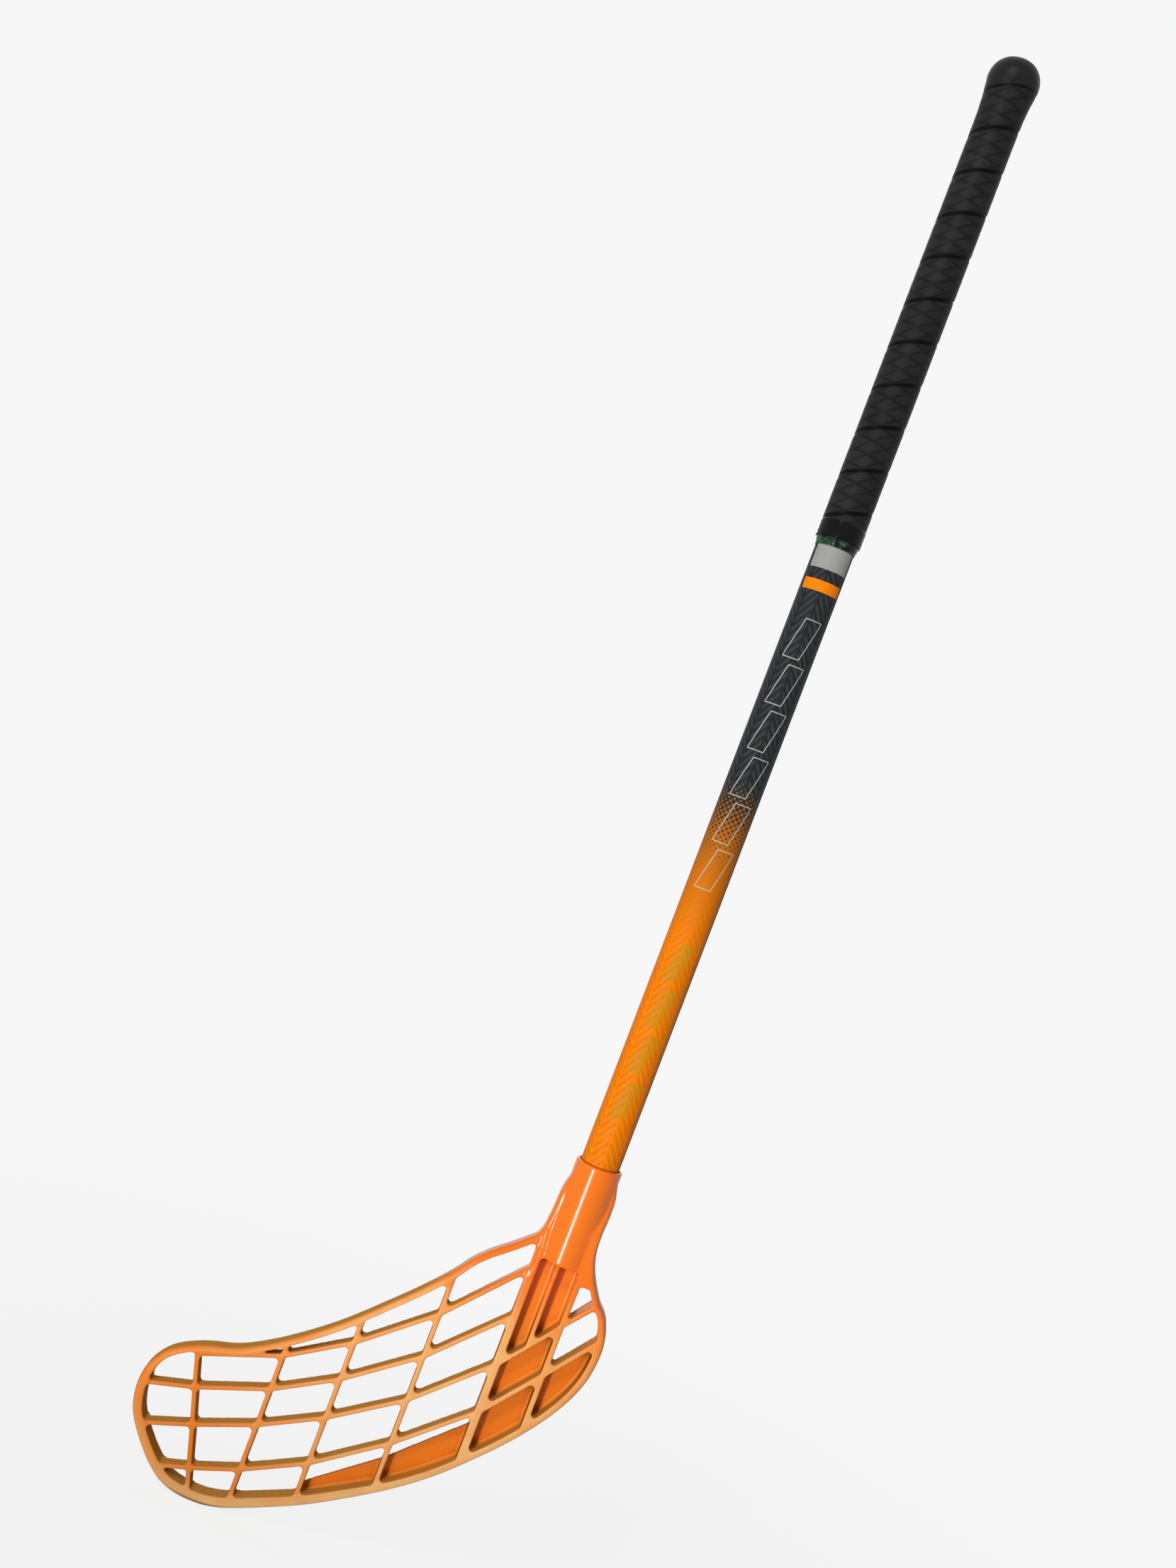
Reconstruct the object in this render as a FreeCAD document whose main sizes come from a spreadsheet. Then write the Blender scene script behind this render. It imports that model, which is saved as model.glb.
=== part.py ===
"""Floorball stick: a composite tube with a wound grip and a moulded lattice blade.

Millimetres. +Z runs along the shaft towards the butt end, -X points to the blade's toe and +Y to
the blade's back. The origin is on the shaft's axis, at the middle of the grip winding.
"""
import FreeCAD
import Part
import Sketcher
import math
import os

Vector = FreeCAD.Vector
ORIGIN = Vector(0, 0, 0)
UP = Vector(0, 0, 1)

# Driving dimensions: alias, value, meaning
DIMENSIONS = (
    ("grip_length", 238.6, "wound part of the grip"),
    ("grip_pitch", 22.8, "step of the winding from turn to turn"),
    ("strip_thickness", 1.45, "grip strip"),
    ("flare_rise", 0.75, "how far the grip widens towards the knob"),
    ("flare_length", 22, "length over which the grip widens"),
    ("seam_radius", 1.1, "round groove between two turns"),
    ("seam_angle", 52, "place of the seam at the lower end, degrees from the right side to the back"),
    ("seam_floor_width", 0.9, "gap between two turns at the strip's inside"),
    ("dome_height", 20.4, "bare knob above the winding"),
    ("knob_radius", 13.55, "widest part of the knob"),
    ("knob_rounding", 11.5, "rounding of the knob's top"),
    ("knob_waist_radius", 12.4, "knob where the winding starts"),
    ("knob_waist_height", 7.3, "height of the knob's lower taper"),
    ("crown_thickness", 6, "rubber above the tube's end"),
    ("plug_depth", 30, "plug inside the tube"),
    ("tube_length", 637.6, "composite tube"),
    ("tube_diameter", 19.8, "outside of the tube"),
    ("tube_wall", 1.4, "wall of the tube"),
    ("film_thickness", 0.15, "printed film"),
    ("film_seam_width", 0.9, "bare strip of tube at the film's seam"),
    ("film_seam_angle", 15, "seam's place, degrees from the right side towards the front"),
    ("film_tuck", 0.7, "film's end inside the socket mouth"),
    ("wrap_clearance", 0.05, "gap between pieces that lie round or against each other"),
    ("end_tape_width", 9, "finishing tape"),
    ("end_tape_thickness", 0.25, "finishing tape"),
    ("foil_width", 4.3, "foil band that slopes from the grip's end to the shaft"),
    ("foil_thickness", 0.25, "foil band"),
    ("foil_inset", 0.3, "foil band's upper edge inside the strip's outside"),
    ("socket_depth", 50, "tube inside the socket"),
    ("socket_diameter", 24.3, "outside of the socket"),
    ("socket_floor", 2.5, "closed end of the socket"),
    ("adhesive_gap", 0.3, "room for the adhesive, tube to bore"),
    ("adhesive_inset", 1, "adhesive's end below the socket mouth"),
    ("screw_radius", 1.45, "screw shank"),
    ("screw_length", 4.6, "screw from head to tip"),
    ("screw_head_radius", 2.9, "countersunk head"),
    ("screw_head_depth", 1.5, "countersunk head"),
    ("screw_sink", 0.35, "head below the socket's outside"),
    ("screw_drop", 15, "first screw below the socket mouth"),
    ("screw_spacing", 20, "first screw to second screw"),
    ("drive_width", 0.8, "arm of the cross recess"),
    ("drive_length", 3.2, "cross recess, tip to tip"),
    ("drive_depth", 0.9, "cross recess"),
    ("blade_reach", 178, "shaft axis to the toe"),
    ("blade_drop", 179.5, "tube's end to the lowest point of the blade"),
    ("rim_depth", 11, "blade rim, front to back"),
    ("rim_width", 5.2, "blade rim at the toe, seen from the front"),
    ("rim_rounding", 2.4, "outer edges of the rim"),
    ("rib_width", 2.4, "ribs that run to the toe"),
    ("rib_recess", 0.6, "ribs behind the rim's front"),
    ("column_width", 2.6, "ribs across the blade"),
    ("stem_wall_width", 4.2, "stem's wall on the toe side"),
    ("stem_middle_width", 2.2, "wall between the two long pockets"),
    ("heel_wall_width", 2.8, "stem's wall on the heel side"),
    ("web_thickness", 2.2, "closed backs of the pockets"),
    ("neck_depth", 18.8, "neck beside the socket, front to back"),
    ("neck_inset", 1.2, "neck's sides inside the blade's outline"),
    ("cell_rounding", 1.8, "corners of the openings"),
    ("cut_overrun", 1, "how far every cut passes its face"),
)

# Flare of the grip, from its lower end to the knob: shares of flare_length and flare_rise
FLARE_SHARES = ((0, 0), (0.4, 0.12), (0.7, 0.42), (1, 1))

# Blade outline, anticlockwise seen from the front. The neck's points are shares of the socket's radius and
# depth above the tube's end, the others shares of blade_reach towards the toe and blade_drop downwards,
# with the rim's local width as a share of rim_width.
NECK_LEFT_SHARES = ((0.99, 0.80), (1.13, 0.66), (1.20, 0.39))
NECK_RIGHT_SHARES = ((1.135, 0.21), (1.135, 0.69), (0.99, 0.87))
OUTLINE_SHARES = (
    (0.093, -0.045, 0.62),
    (0.126, -0.011, 0.62),
    (0.228, 0.076, 0.62),
    (0.292, 0.158, 0.63),
    (0.393, 0.265, 0.63),
    (0.562, 0.421, 0.64),
    (0.742, 0.541, 0.63),
    (0.888, 0.591, 0.63),
    (0.958, 0.635, 0.70),
    (0.996, 0.705, 0.90),
    (0.992, 0.800, 1.00),
    (0.947, 0.880, 1.00),
    (0.862, 0.967, 1.05),
    (0.787, 0.997, 1.10),
    (0.685, 0.997, 1.10),
    (0.562, 0.955, 1.08),
    (0.393, 0.875, 1.00),
    (0.169, 0.731, 0.80),
    (0.000, 0.574, 0.75),
    (-0.112, 0.437, 0.75),
    (-0.174, 0.320, 0.78),
    (-0.192, 0.209, 0.80),
    (-0.173, 0.123, 0.80),
    (-0.130, 0.067, 0.70),
    (-0.093, 0.000, 0.65),
)

# Where the ribs cross: shares of blade_reach and blade_drop. Each row runs from beyond the toe over the toe
# column, three more columns and the stem's wall. The first and last rows lie beyond the rim.
RIB_SHARES = (
    ((1.100, 0.500), (0.894, 0.526), (0.642, 0.415), (0.469, 0.276), (0.273, 0.053), (0.074, -0.114)),
    ((1.039, 0.660), (0.870, 0.610), (0.642, 0.531), (0.469, 0.426), (0.273, 0.267), (0.074, 0.051)),
    ((1.039, 0.749), (0.843, 0.700), (0.642, 0.630), (0.469, 0.535), (0.273, 0.393), (0.074, 0.194)),
    ((1.039, 0.873), (0.812, 0.800), (0.642, 0.737), (0.469, 0.650), (0.273, 0.523), (0.074, 0.340)),
    ((0.955, 0.964), (0.778, 0.916), (0.642, 0.870), (0.469, 0.786), (0.273, 0.652), (0.074, 0.482)),
    ((0.983, 1.139), (0.720, 1.111), (0.642, 1.084), (0.469, 1.028), (0.273, 0.916), (0.074, 0.805)),
)

# Free edge of the back webs in the bottom row, under the second, first and stem columns
WEB_EDGE_SHARES = ((0.469, 0.858), (0.273, 0.710), (0.074, 0.526))

# Ribs through the stem and the heel: stem's wall, wall between the long pockets, heel wall, beyond the heel
UPPER_STEM_SHARES = ((0.074, 0.340), (0.0096, 0.266), (-0.0596, 0.177), (-0.253, -0.064))
LOWER_STEM_SHARES = ((0.074, 0.482), (0.0096, 0.405), (-0.0596, 0.322), (-0.253, 0.084))
BELOW_STEM_SHARES = ((0.074, 0.805), (0.0096, 0.720), (-0.0596, 0.638), (-0.253, 0.387))
HEEL_TOP_SHARES = ((-0.0596, 0.050), (-0.135, 0.050), (-0.135, 0.083))

# Neck blocks on the toe side and on the heel side of the shaft's axis: outer side as a share of the
# socket's radius, depth as a share of neck_depth, upper end and shoulder as shares of socket_depth above
# the tube's end
NECK_BLOCK_SHARES = ((-1.12, 0.72, 0.79, 0), (2.8, 1, 0.82, 0.36))

# Lower end of both neck blocks, as a share of blade_drop below the tube's end
NECK_END_SHARE = 0.276

# Largest corner rounding of an opening, as a share of the square root of its area
ROUNDING_SHARE = 0.085

# Largest rounding of the knob's top, as a share of knob_radius
DOME_LIMIT_SHARE = 0.95

# Share of a turn over which the seam's heading is taken
HEADING_SHARE = 0.0001

# Sine of the angle between an arc and its chord below which the arc is drawn as a line
STRAIGHT_SHARE = 0.002


class Size:
    """A length with its value now and the formula over the sheet's cells that gives it."""

    def __init__(self, value, formula):
        self.value = value
        self.formula = formula

    def join(self, sign, other, value):
        return Size(value, "(%s %s %s)" % (self.formula, sign, other.formula))

    def __add__(self, other):
        return self.join("+", other, self.value + other.value)

    def __sub__(self, other):
        return self.join("-", other, self.value - other.value)

    def __mul__(self, number):
        return Size(self.value * number, "(%s * %s)" % (self.formula, number))

    def __truediv__(self, number):
        return Size(self.value / number, "(%s / %s)" % (self.formula, number))


class Stick:
    """The sheet's sizes by name, and the levels and radii that several pieces share."""

    def __init__(self, sheet):
        for alias, value, meaning in DIMENSIONS:
            setattr(self, alias, Size(float(sheet.get(alias)), "%s.%s" % (sheet.Name, alias)))
        self.zero = self.cut_overrun * 0
        self.grip_top = self.grip_length / 2
        self.grip_bottom = self.grip_length / -2
        self.tube_top = self.grip_top + self.dome_height - self.crown_thickness
        self.tube_end = self.tube_top - self.tube_length
        self.socket_mouth = self.tube_end + self.socket_depth
        self.socket_end = self.tube_end - self.wrap_clearance - self.socket_floor
        self.tube_radius = self.tube_diameter / 2
        self.tube_bore = self.tube_radius - self.tube_wall
        self.film_inside = self.tube_radius + self.wrap_clearance
        self.film_radius = self.film_inside + self.film_thickness
        self.strip_inside = self.film_radius + self.wrap_clearance
        self.strip_outside = self.strip_inside + self.strip_thickness
        self.skirt_length = self.flare_length * (1 - FLARE_SHARES[1][0])
        self.socket_radius = self.socket_diameter / 2
        self.socket_bore = self.tube_radius + self.adhesive_gap
        self.band_inside = self.strip_outside + self.wrap_clearance


def make_sheet(doc):
    sheet = doc.addObject("Spreadsheet::Sheet", "Dims")
    for row, (alias, value, meaning) in enumerate(DIMENSIONS, start=1):
        sheet.set("A%d" % row, meaning)
        sheet.set("B%d" % row, str(value))
        sheet.setAlias("B%d" % row, alias)
    doc.recompute()
    return sheet


def bind(item, prop, size):
    item.setExpression(prop, size.formula)


def new_sketch(body, plane, label):
    sketch = body.newObject("Sketcher::SketchObject", label)
    support = [item for item in body.Origin.OriginFeatures if item.Role == plane][0]
    sketch.AttachmentSupport = [(support, "")]
    sketch.MapMode = "FlatFace"
    return sketch


def bind_constraint(sketch, size, kind, *places):
    index = sketch.addConstraint(Sketcher.Constraint(kind, *places, size.value))
    sketch.setExpression("Constraints[%d]" % index, size.formula)


def ring(doc, label, outside, inside, length, bottom):
    """A plain sleeve along the shaft's axis."""
    body = doc.addObject("PartDesign::Body", label)
    sketch = new_sketch(body, "XY_Plane", label + "_section")
    for radius in (outside, inside):
        circle = sketch.addGeometry(Part.Circle(ORIGIN, UP, radius.value))
        sketch.addConstraint(Sketcher.Constraint("Coincident", circle, 3, -1, 1))
        bind_constraint(sketch, radius, "Radius", circle)
    pad = body.newObject("PartDesign::Pad", label + "_pad")
    pad.Profile = sketch
    bind(pad, "Length", length)
    bind(body, "Placement.Base.z", bottom)
    return body


def turned(doc, label, outline, bottom):
    """A body turned about the shaft's axis from a closed outline of radii and heights."""
    body = doc.addObject("PartDesign::Body", label)
    sketch = new_sketch(body, "XZ_Plane", label + "_outline")
    corners = [Vector(radius.value, height.value, 0) for radius, height in outline]
    count = len(corners)
    for index in range(count):
        sketch.addGeometry(Part.LineSegment(corners[index], corners[(index + 1) % count]))
    for index, (radius, height) in enumerate(outline):
        before = (index - 1) % count
        sketch.addConstraint(Sketcher.Constraint("Coincident", before, 2, index, 1))
        bind_constraint(sketch, radius, "DistanceX", -1, 1, index, 1)
        bind_constraint(sketch, height, "DistanceY", -1, 1, index, 1)
    turn = body.newObject("PartDesign::Revolution", label + "_turn")
    turn.Profile = sketch
    turn.ReferenceAxis = (sketch, ["V_Axis"])
    turn.Angle = 360
    bind(body, "Placement.Base.z", bottom)
    return body, turn


def make_film(doc, stick):
    """Printed film round the tube, open at its lengthwise seam."""
    top = stick.grip_top - stick.skirt_length - stick.wrap_clearance
    bottom = stick.socket_mouth - stick.film_tuck
    outline = (
        (stick.film_inside, stick.zero),
        (stick.film_radius, stick.zero),
        (stick.film_radius, top - bottom),
        (stick.film_inside, top - bottom),
    )
    body, turn = turned(doc, "shaft_film", outline, bottom)
    opening = "%s / %s * 180 / pi" % (stick.film_seam_width.formula, stick.film_radius.formula)
    turn.setExpression("Angle", "360 - %s" % opening)
    body.Placement.Rotation = FreeCAD.Rotation(UP, 0)
    body.setExpression("Placement.Rotation.Angle", "-%s" % stick.film_seam_angle.formula)
    return body


def make_end_cap(doc, stick):
    """Rubber knob with a plug in the tube and a skirt that flares the first turn of the strip."""
    tube_top = stick.dome_height - stick.crown_thickness
    plug_radius = stick.tube_bore - stick.wrap_clearance
    skirt_outside = stick.strip_inside - stick.wrap_clearance
    skirt = [
        (skirt_outside + stick.flare_rise * rise, stick.flare_length * (along - 1))
        for along, rise in FLARE_SHARES[1:]
    ]
    outline = [
        (stick.zero, stick.dome_height),
        (stick.zero, tube_top - stick.plug_depth),
        (plug_radius, tube_top - stick.plug_depth),
        (plug_radius, tube_top + stick.wrap_clearance),
        (stick.film_inside, tube_top + stick.wrap_clearance),
        (stick.film_inside, stick.zero - stick.skirt_length),
    ]
    outline += skirt
    outline += [
        (stick.knob_waist_radius, stick.zero),
        (stick.knob_radius, stick.knob_waist_height),
        (stick.knob_radius, stick.dome_height),
    ]
    body, turn = turned(doc, "end_cap", outline, stick.grip_top)
    doc.recompute()
    edges = turn.Shape.Edges
    top_edge = max(range(len(edges)), key=lambda index: edges[index].BoundBox.ZMin)
    dome = body.newObject("PartDesign::Fillet", "end_cap_dome")
    dome.Base = (turn, ["Edge%d" % (top_edge + 1)])
    widest = stick.knob_radius * DOME_LIMIT_SHARE
    dome.setExpression("Radius", "min(%s; %s)" % (stick.knob_rounding.formula, widest.formula))
    return body


def make_foil_band(doc, stick):
    """Narrow film that slopes from the end of the winding down to the shaft."""
    upper = stick.strip_outside - stick.foil_inset
    lower = stick.strip_inside + stick.foil_thickness
    outline = (
        (stick.strip_inside, stick.zero),
        (lower, stick.zero),
        (upper, stick.foil_width),
        (upper - stick.foil_thickness, stick.foil_width),
    )
    return turned(doc, "foil_band", outline, stick.grip_bottom - stick.wrap_clearance - stick.foil_width)[0]


def arc(start, heading, end):
    """The circular arc that leaves start along heading and reaches end; a line if it hardly bends."""
    chord = end - start
    along = Vector(chord)
    along.normalize()
    if heading.cross(along).Length < STRAIGHT_SHARE:
        return Part.makeLine(start, end)
    middle = heading + along
    middle.normalize()
    return Part.Arc(start, start + middle * (chord.Length / (2 * middle.dot(along))), end).toShape()


def biarc(start, heading, end, end_heading):
    """Two arcs that join two points with the given headings."""
    chord = end - start
    headings = heading + end_heading
    square = 2 * (1 - heading.dot(end_heading))
    reach = chord.dot(headings)
    handle = chord.dot(chord) / (math.sqrt(reach ** 2 + square * chord.dot(chord)) + reach)
    corner = start + heading * handle
    end_corner = end - end_heading * handle
    joint = (corner + end_corner) * 0.5
    onwards = end_corner - corner
    onwards.normalize()
    return [arc(start, heading, joint), arc(joint, onwards, end)]


def flare_at(stick, height):
    """How far the grip's surface stands out at a height above the origin."""
    along = 1 - (stick.grip_top.value - height) / stick.flare_length.value
    for (low, low_rise), (high, high_rise) in zip(FLARE_SHARES, FLARE_SHARES[1:]):
        if low < along <= high:
            share = low_rise + (high_rise - low_rise) * (along - low) / (high - low)
            return share * stick.flare_rise.value
    return stick.flare_rise.value if along > 1 else 0


def seam_point(stick, turns, depth):
    """A point of the seam between the turns, a depth below the grip's surface."""
    height = stick.grip_bottom.value + turns * stick.grip_pitch.value
    radius = stick.strip_outside.value - depth + flare_at(stick, height)
    angle = 2 * math.pi * turns + math.radians(stick.seam_angle.value)
    return Vector(radius * math.cos(angle), radius * math.sin(angle), height)


def seam_heading(stick, turns, depth):
    behind = seam_point(stick, turns - HEADING_SHARE, depth)
    heading = seam_point(stick, turns + HEADING_SHARE, depth) - behind
    heading.normalize()
    return heading


def make_grip_tape(doc, stick):
    """One unbroken strip wound up the shaft: a sleeve parted by a helical round groove."""
    low = stick.grip_bottom.value
    high = stick.grip_top.value
    inside = stick.strip_inside.value
    outside = stick.strip_outside.value
    gap = stick.wrap_clearance.value
    flare = [
        (stick.flare_rise.value * rise, high - stick.flare_length.value * (1 - along) - gap * (along == 1))
        for along, rise in FLARE_SHARES
    ]
    outline = [Vector(inside, 0, low)]
    outline += [Vector(inside + rise, 0, height) for rise, height in flare]
    outline += [Vector(outside + rise, 0, height) for rise, height in reversed(flare)]
    outline += [Vector(outside, 0, low), outline[0]]
    sleeve = Part.Face(Part.makePolygon(outline)).revolve(ORIGIN, UP, 360)

    drop = math.sqrt(stick.seam_radius.value ** 2 - (stick.seam_floor_width.value / 2) ** 2)
    depth = stick.strip_thickness.value - drop
    quarters = math.ceil(4 * stick.grip_length.value / stick.grip_pitch.value)
    arcs = []
    for quarter in range(-2, quarters + 2):
        here = quarter / 4
        there = (quarter + 1) / 4
        arcs += biarc(
            seam_point(stick, here, depth),
            seam_heading(stick, here, depth),
            seam_point(stick, there, depth),
            seam_heading(stick, there, depth),
        )
    path = Part.Wire(arcs)
    start = path.Edges[0].Curve
    first = path.Edges[0].FirstParameter
    circle = Part.makeCircle(stick.seam_radius.value, start.value(first), start.tangent(first)[0])
    groove = path.makePipeShell([Part.Wire(circle)], True, False)
    strip = sleeve.cut(groove)

    floor = stick.strip_thickness.value
    probes = [seam_point(stick, step / 8, floor) for step in range(4, 2 * quarters - 4)]
    least = min(Part.Vertex(probe).distToShape(strip)[0] for probe in probes)
    print("grip_tape: least gap between turns %.2f mm" % (2 * least))

    feature = doc.addObject("Part::Feature", "grip_tape")
    feature.Shape = strip.Solids[0] if len(strip.Solids) == 1 else strip
    return feature


def primitive(doc, kind, label, sizes, place=()):
    item = doc.addObject(kind, label)
    for prop, size in sizes:
        bind(item, prop, size)
    for axis, size in place:
        bind(item, "Placement.Base." + axis, size)
    return item


def joined(doc, kind, label, base, tool):
    item = doc.addObject(kind, label)
    item.Base = base
    item.Tool = tool
    return item


def towards_back(item):
    item.Placement.Rotation = FreeCAD.Rotation(Vector(1, 0, 0), -90)
    return item


def make_screw(doc, stick, name, level):
    """Countersunk screw that points into the socket's back, with a cross recess in its head."""
    face = stick.socket_radius - stick.screw_sink
    under_head = face - stick.screw_head_depth
    tip = face - stick.screw_length
    shank = primitive(
        doc,
        "Part::Cylinder",
        name + "_shank",
        (("Radius", stick.screw_radius), ("Height", under_head - tip)),
        (("y", tip), ("z", level)),
    )
    head = primitive(
        doc,
        "Part::Cone",
        name + "_head",
        (
            ("Radius1", stick.screw_radius),
            ("Radius2", stick.screw_head_radius),
            ("Height", stick.screw_head_depth),
        ),
        (("y", under_head), ("z", level)),
    )
    blank = joined(doc, "Part::Fuse", name + "_blank", towards_back(shank), towards_back(head))
    depth = stick.drive_depth + stick.cut_overrun
    arms = []
    for arm, across, along in (("x", "Length", "Height"), ("z", "Height", "Length")):
        half_across = stick.drive_length / 2 if arm == "x" else stick.drive_width / 2
        half_up = stick.drive_width / 2 if arm == "x" else stick.drive_length / 2
        arms.append(
            primitive(
                doc,
                "Part::Box",
                "%s_arm_%s" % (name, arm),
                ((across, stick.drive_length), (along, stick.drive_width), ("Width", depth)),
                (("x", stick.zero - half_across), ("y", face - stick.drive_depth), ("z", level - half_up)),
            )
        )
    recess = joined(doc, "Part::Fuse", name + "_recess", arms[0], arms[1])
    return joined(doc, "Part::Cut", name, blank, recess)


def make_screw_hole(doc, stick, name, level):
    """Clearance for one screw through the socket, the adhesive and the tube."""
    face = stick.socket_radius - stick.screw_sink
    under_head = face - stick.screw_head_depth
    start = stick.tube_bore - stick.cut_overrun
    gap = stick.wrap_clearance
    shank = primitive(
        doc,
        "Part::Cylinder",
        name + "_shank",
        (("Radius", stick.screw_radius + gap), ("Height", under_head - start)),
        (("y", start), ("z", level)),
    )
    head = primitive(
        doc,
        "Part::Cone",
        name + "_seat",
        (
            ("Radius1", stick.screw_radius + gap),
            ("Radius2", stick.screw_head_radius + gap),
            ("Height", stick.screw_head_depth),
        ),
        (("y", under_head), ("z", level)),
    )
    mouth = primitive(
        doc,
        "Part::Cylinder",
        name + "_mouth",
        (("Radius", stick.screw_head_radius + gap), ("Height", stick.screw_sink + stick.cut_overrun)),
        (("y", face), ("z", level)),
    )
    seat = joined(doc, "Part::Fuse", name + "_cone", towards_back(shank), towards_back(head))
    return joined(doc, "Part::Fuse", name, seat, towards_back(mouth))


class BladePlan:
    """The blade's plan, as points across the blade (x) and along the shaft (z)."""

    def __init__(self, stick):
        self.stick = stick
        self.front = -stick.rim_depth.value / 2
        self.back = stick.rim_depth.value / 2
        self.overrun = stick.cut_overrun.value

    def point(self, shares):
        across, down = shares[:2]
        stick = self.stick
        return Vector(
            -across * stick.blade_reach.value, 0, stick.tube_end.value - down * stick.blade_drop.value
        )

    def neck_point(self, shares, side):
        across, up = shares
        stick = self.stick
        return Vector(
            side * across * stick.socket_radius.value, 0, stick.tube_end.value + up * stick.socket_depth.value
        )

    def outline(self):
        """Points of the outline, and the outline's heading at each."""
        points = [self.neck_point(shares, -1) for shares in NECK_LEFT_SHARES]
        points += [self.point(shares) for shares in OUTLINE_SHARES]
        points += [self.neck_point(shares, 1) for shares in NECK_RIGHT_SHARES]
        headings = []
        for before, after in zip(points[:1] + points, points[1:] + points[-1:]):
            heading = after - before
            heading.normalize()
            headings.append(heading)
        return points, headings

    def inner_outline(self):
        """The rim's inner edge: the outline's points moved inwards by the rim's local width."""
        points, headings = self.outline()
        first = len(NECK_LEFT_SHARES)
        last = first + len(OUTLINE_SHARES)
        inner = []
        for point, heading, shares in zip(points[first:last], headings[first:last], OUTLINE_SHARES):
            inwards = Vector(-heading.z, 0, heading.x)
            inner.append(point + inwards * (shares[2] * self.stick.rim_width.value))
        return inner, headings[first:last]

    def face(self, outline):
        """A face bounded by arcs that run smoothly through the points, and a straight line."""
        points, headings = outline
        edges = []
        for index in range(len(points) - 1):
            edges += biarc(points[index], headings[index], points[index + 1], headings[index + 1])
        edges.append(Part.makeLine(points[-1], points[0]))
        return Part.Face(Part.Wire(edges))

    def opening(self, corners, inner, start, end):
        """Prisms for one opening: its polygon trimmed by the rim's inner edge, with rounded corners."""
        trimmed = Part.Face(Part.makePolygon(corners + corners[:1])).common(inner)
        least = self.stick.rib_width.value ** 2
        prisms = []
        for face in trimmed.Faces:
            if face.Area > least:
                radius = min(self.stick.cell_rounding.value, ROUNDING_SHARE * math.sqrt(face.Area))
                prisms.append(raised(face.makeOffset2D(-radius).makeOffset2D(radius), start, end))
        return prisms


def raised(face, start, end):
    """A prism from front to back on a face of the blade's plan."""
    base = face.copy()
    base.translate(Vector(0, start, 0))
    return base.extrude(Vector(0, end - start, 0))


def inset(corners, halves):
    """The clockwise polygon's sides moved inwards, each by its own half width."""
    lines = []
    for index, half in enumerate(halves):
        start = corners[index]
        along = corners[(index + 1) % len(corners)] - start
        along.normalize()
        lines.append((start + Vector(along.z, 0, -along.x) * half, along))
    points = []
    for index, (start, along) in enumerate(lines):
        before, heading = lines[index - 1]
        spread = heading.x * along.z - heading.z * along.x
        gap = start - before
        points.append(before + heading * ((gap.x * along.z - gap.z * along.x) / spread))
    return points


def lattice_openings(plan):
    """Openings of the lattice as rounded prisms: the through ones, and the ones closed by a back web."""
    stick = plan.stick
    rib = stick.rib_width.value / 2
    column = stick.column_width.value / 2
    crossings = [[plan.point(shares) for shares in row] for row in RIB_SHARES]
    stem_column = len(RIB_SHARES[0]) - 1
    last_row = len(RIB_SHARES) - 1
    web_column = stem_column + 1 - len(WEB_EDGE_SHARES)
    web_edge = [plan.point(shares) for shares in WEB_EDGE_SHARES]
    web_front = plan.back - stick.web_thickness.value
    inner = plan.face(plan.inner_outline())
    openings = []
    for left in range(stem_column):
        rows = [(row, row + 1) for row in range(last_row)]
        if left == 0:
            rows[:2] = [(0, 2)]
        right_half = stick.stem_wall_width.value / 2 if left + 1 == stem_column else column
        for upper, lower in rows:
            corners = [
                crossings[upper][left],
                crossings[upper][left + 1],
                crossings[lower][left + 1],
                crossings[lower][left],
            ]
            ends = [plan.back + plan.overrun]
            shapes = [inset(corners, (rib, right_half, rib, column))]
            if left >= web_column and lower == last_row:
                above_web = corners[:2] + [web_edge[left + 1 - web_column], web_edge[left - web_column]]
                shapes.append(inset(above_web, (rib, right_half, 0, column)))
                ends.insert(0, web_front)
            for points, end in zip(shapes, ends):
                openings += plan.opening(points, inner, plan.front - plan.overrun, end)
    return openings


def stem_openings(plan):
    """Pockets of the stem, closed at the back, and the openings and the pocket of the heel."""
    stick = plan.stick
    rib = stick.rib_width.value / 2
    wall = stick.stem_wall_width.value / 2
    middle = stick.stem_middle_width.value / 2
    heel = stick.heel_wall_width.value / 2
    through = stick.neck_depth.value / 2 + plan.overrun
    mouth = -through
    floor = plan.back - stick.web_thickness.value
    upper = [plan.point(shares) for shares in UPPER_STEM_SHARES]
    lower = [plan.point(shares) for shares in LOWER_STEM_SHARES]
    below = [plan.point(shares) for shares in BELOW_STEM_SHARES]
    top = [Vector(point.x, 0, stick.socket_end.value) for point in upper]
    heel_top = [plan.point(shares) for shares in HEEL_TOP_SHARES]
    cells = (
        ((top[0], top[1], upper[1], upper[0]), (0, middle, rib, wall), floor),
        ((top[1], top[2], upper[2], upper[1]), (0, heel, rib, middle), floor),
        ((upper[0], upper[2], lower[2], lower[0]), (rib, heel, rib, wall), floor),
        ((lower[0], lower[2], below[2], below[0]), (rib, heel, rib, wall), floor),
        ((*heel_top, upper[2]), (0, 0, rib, heel), through),
        ((upper[2], upper[3], lower[3], lower[2]), (rib, heel, rib, heel), through),
        ((lower[2], lower[3], below[3], below[2]), (rib, heel, rib, heel), floor),
    )
    inner = plan.face(plan.inner_outline())
    openings = []
    for corners, halves, end in cells:
        openings += plan.opening(inset(corners, halves), inner, mouth, end)
    return openings


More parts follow.
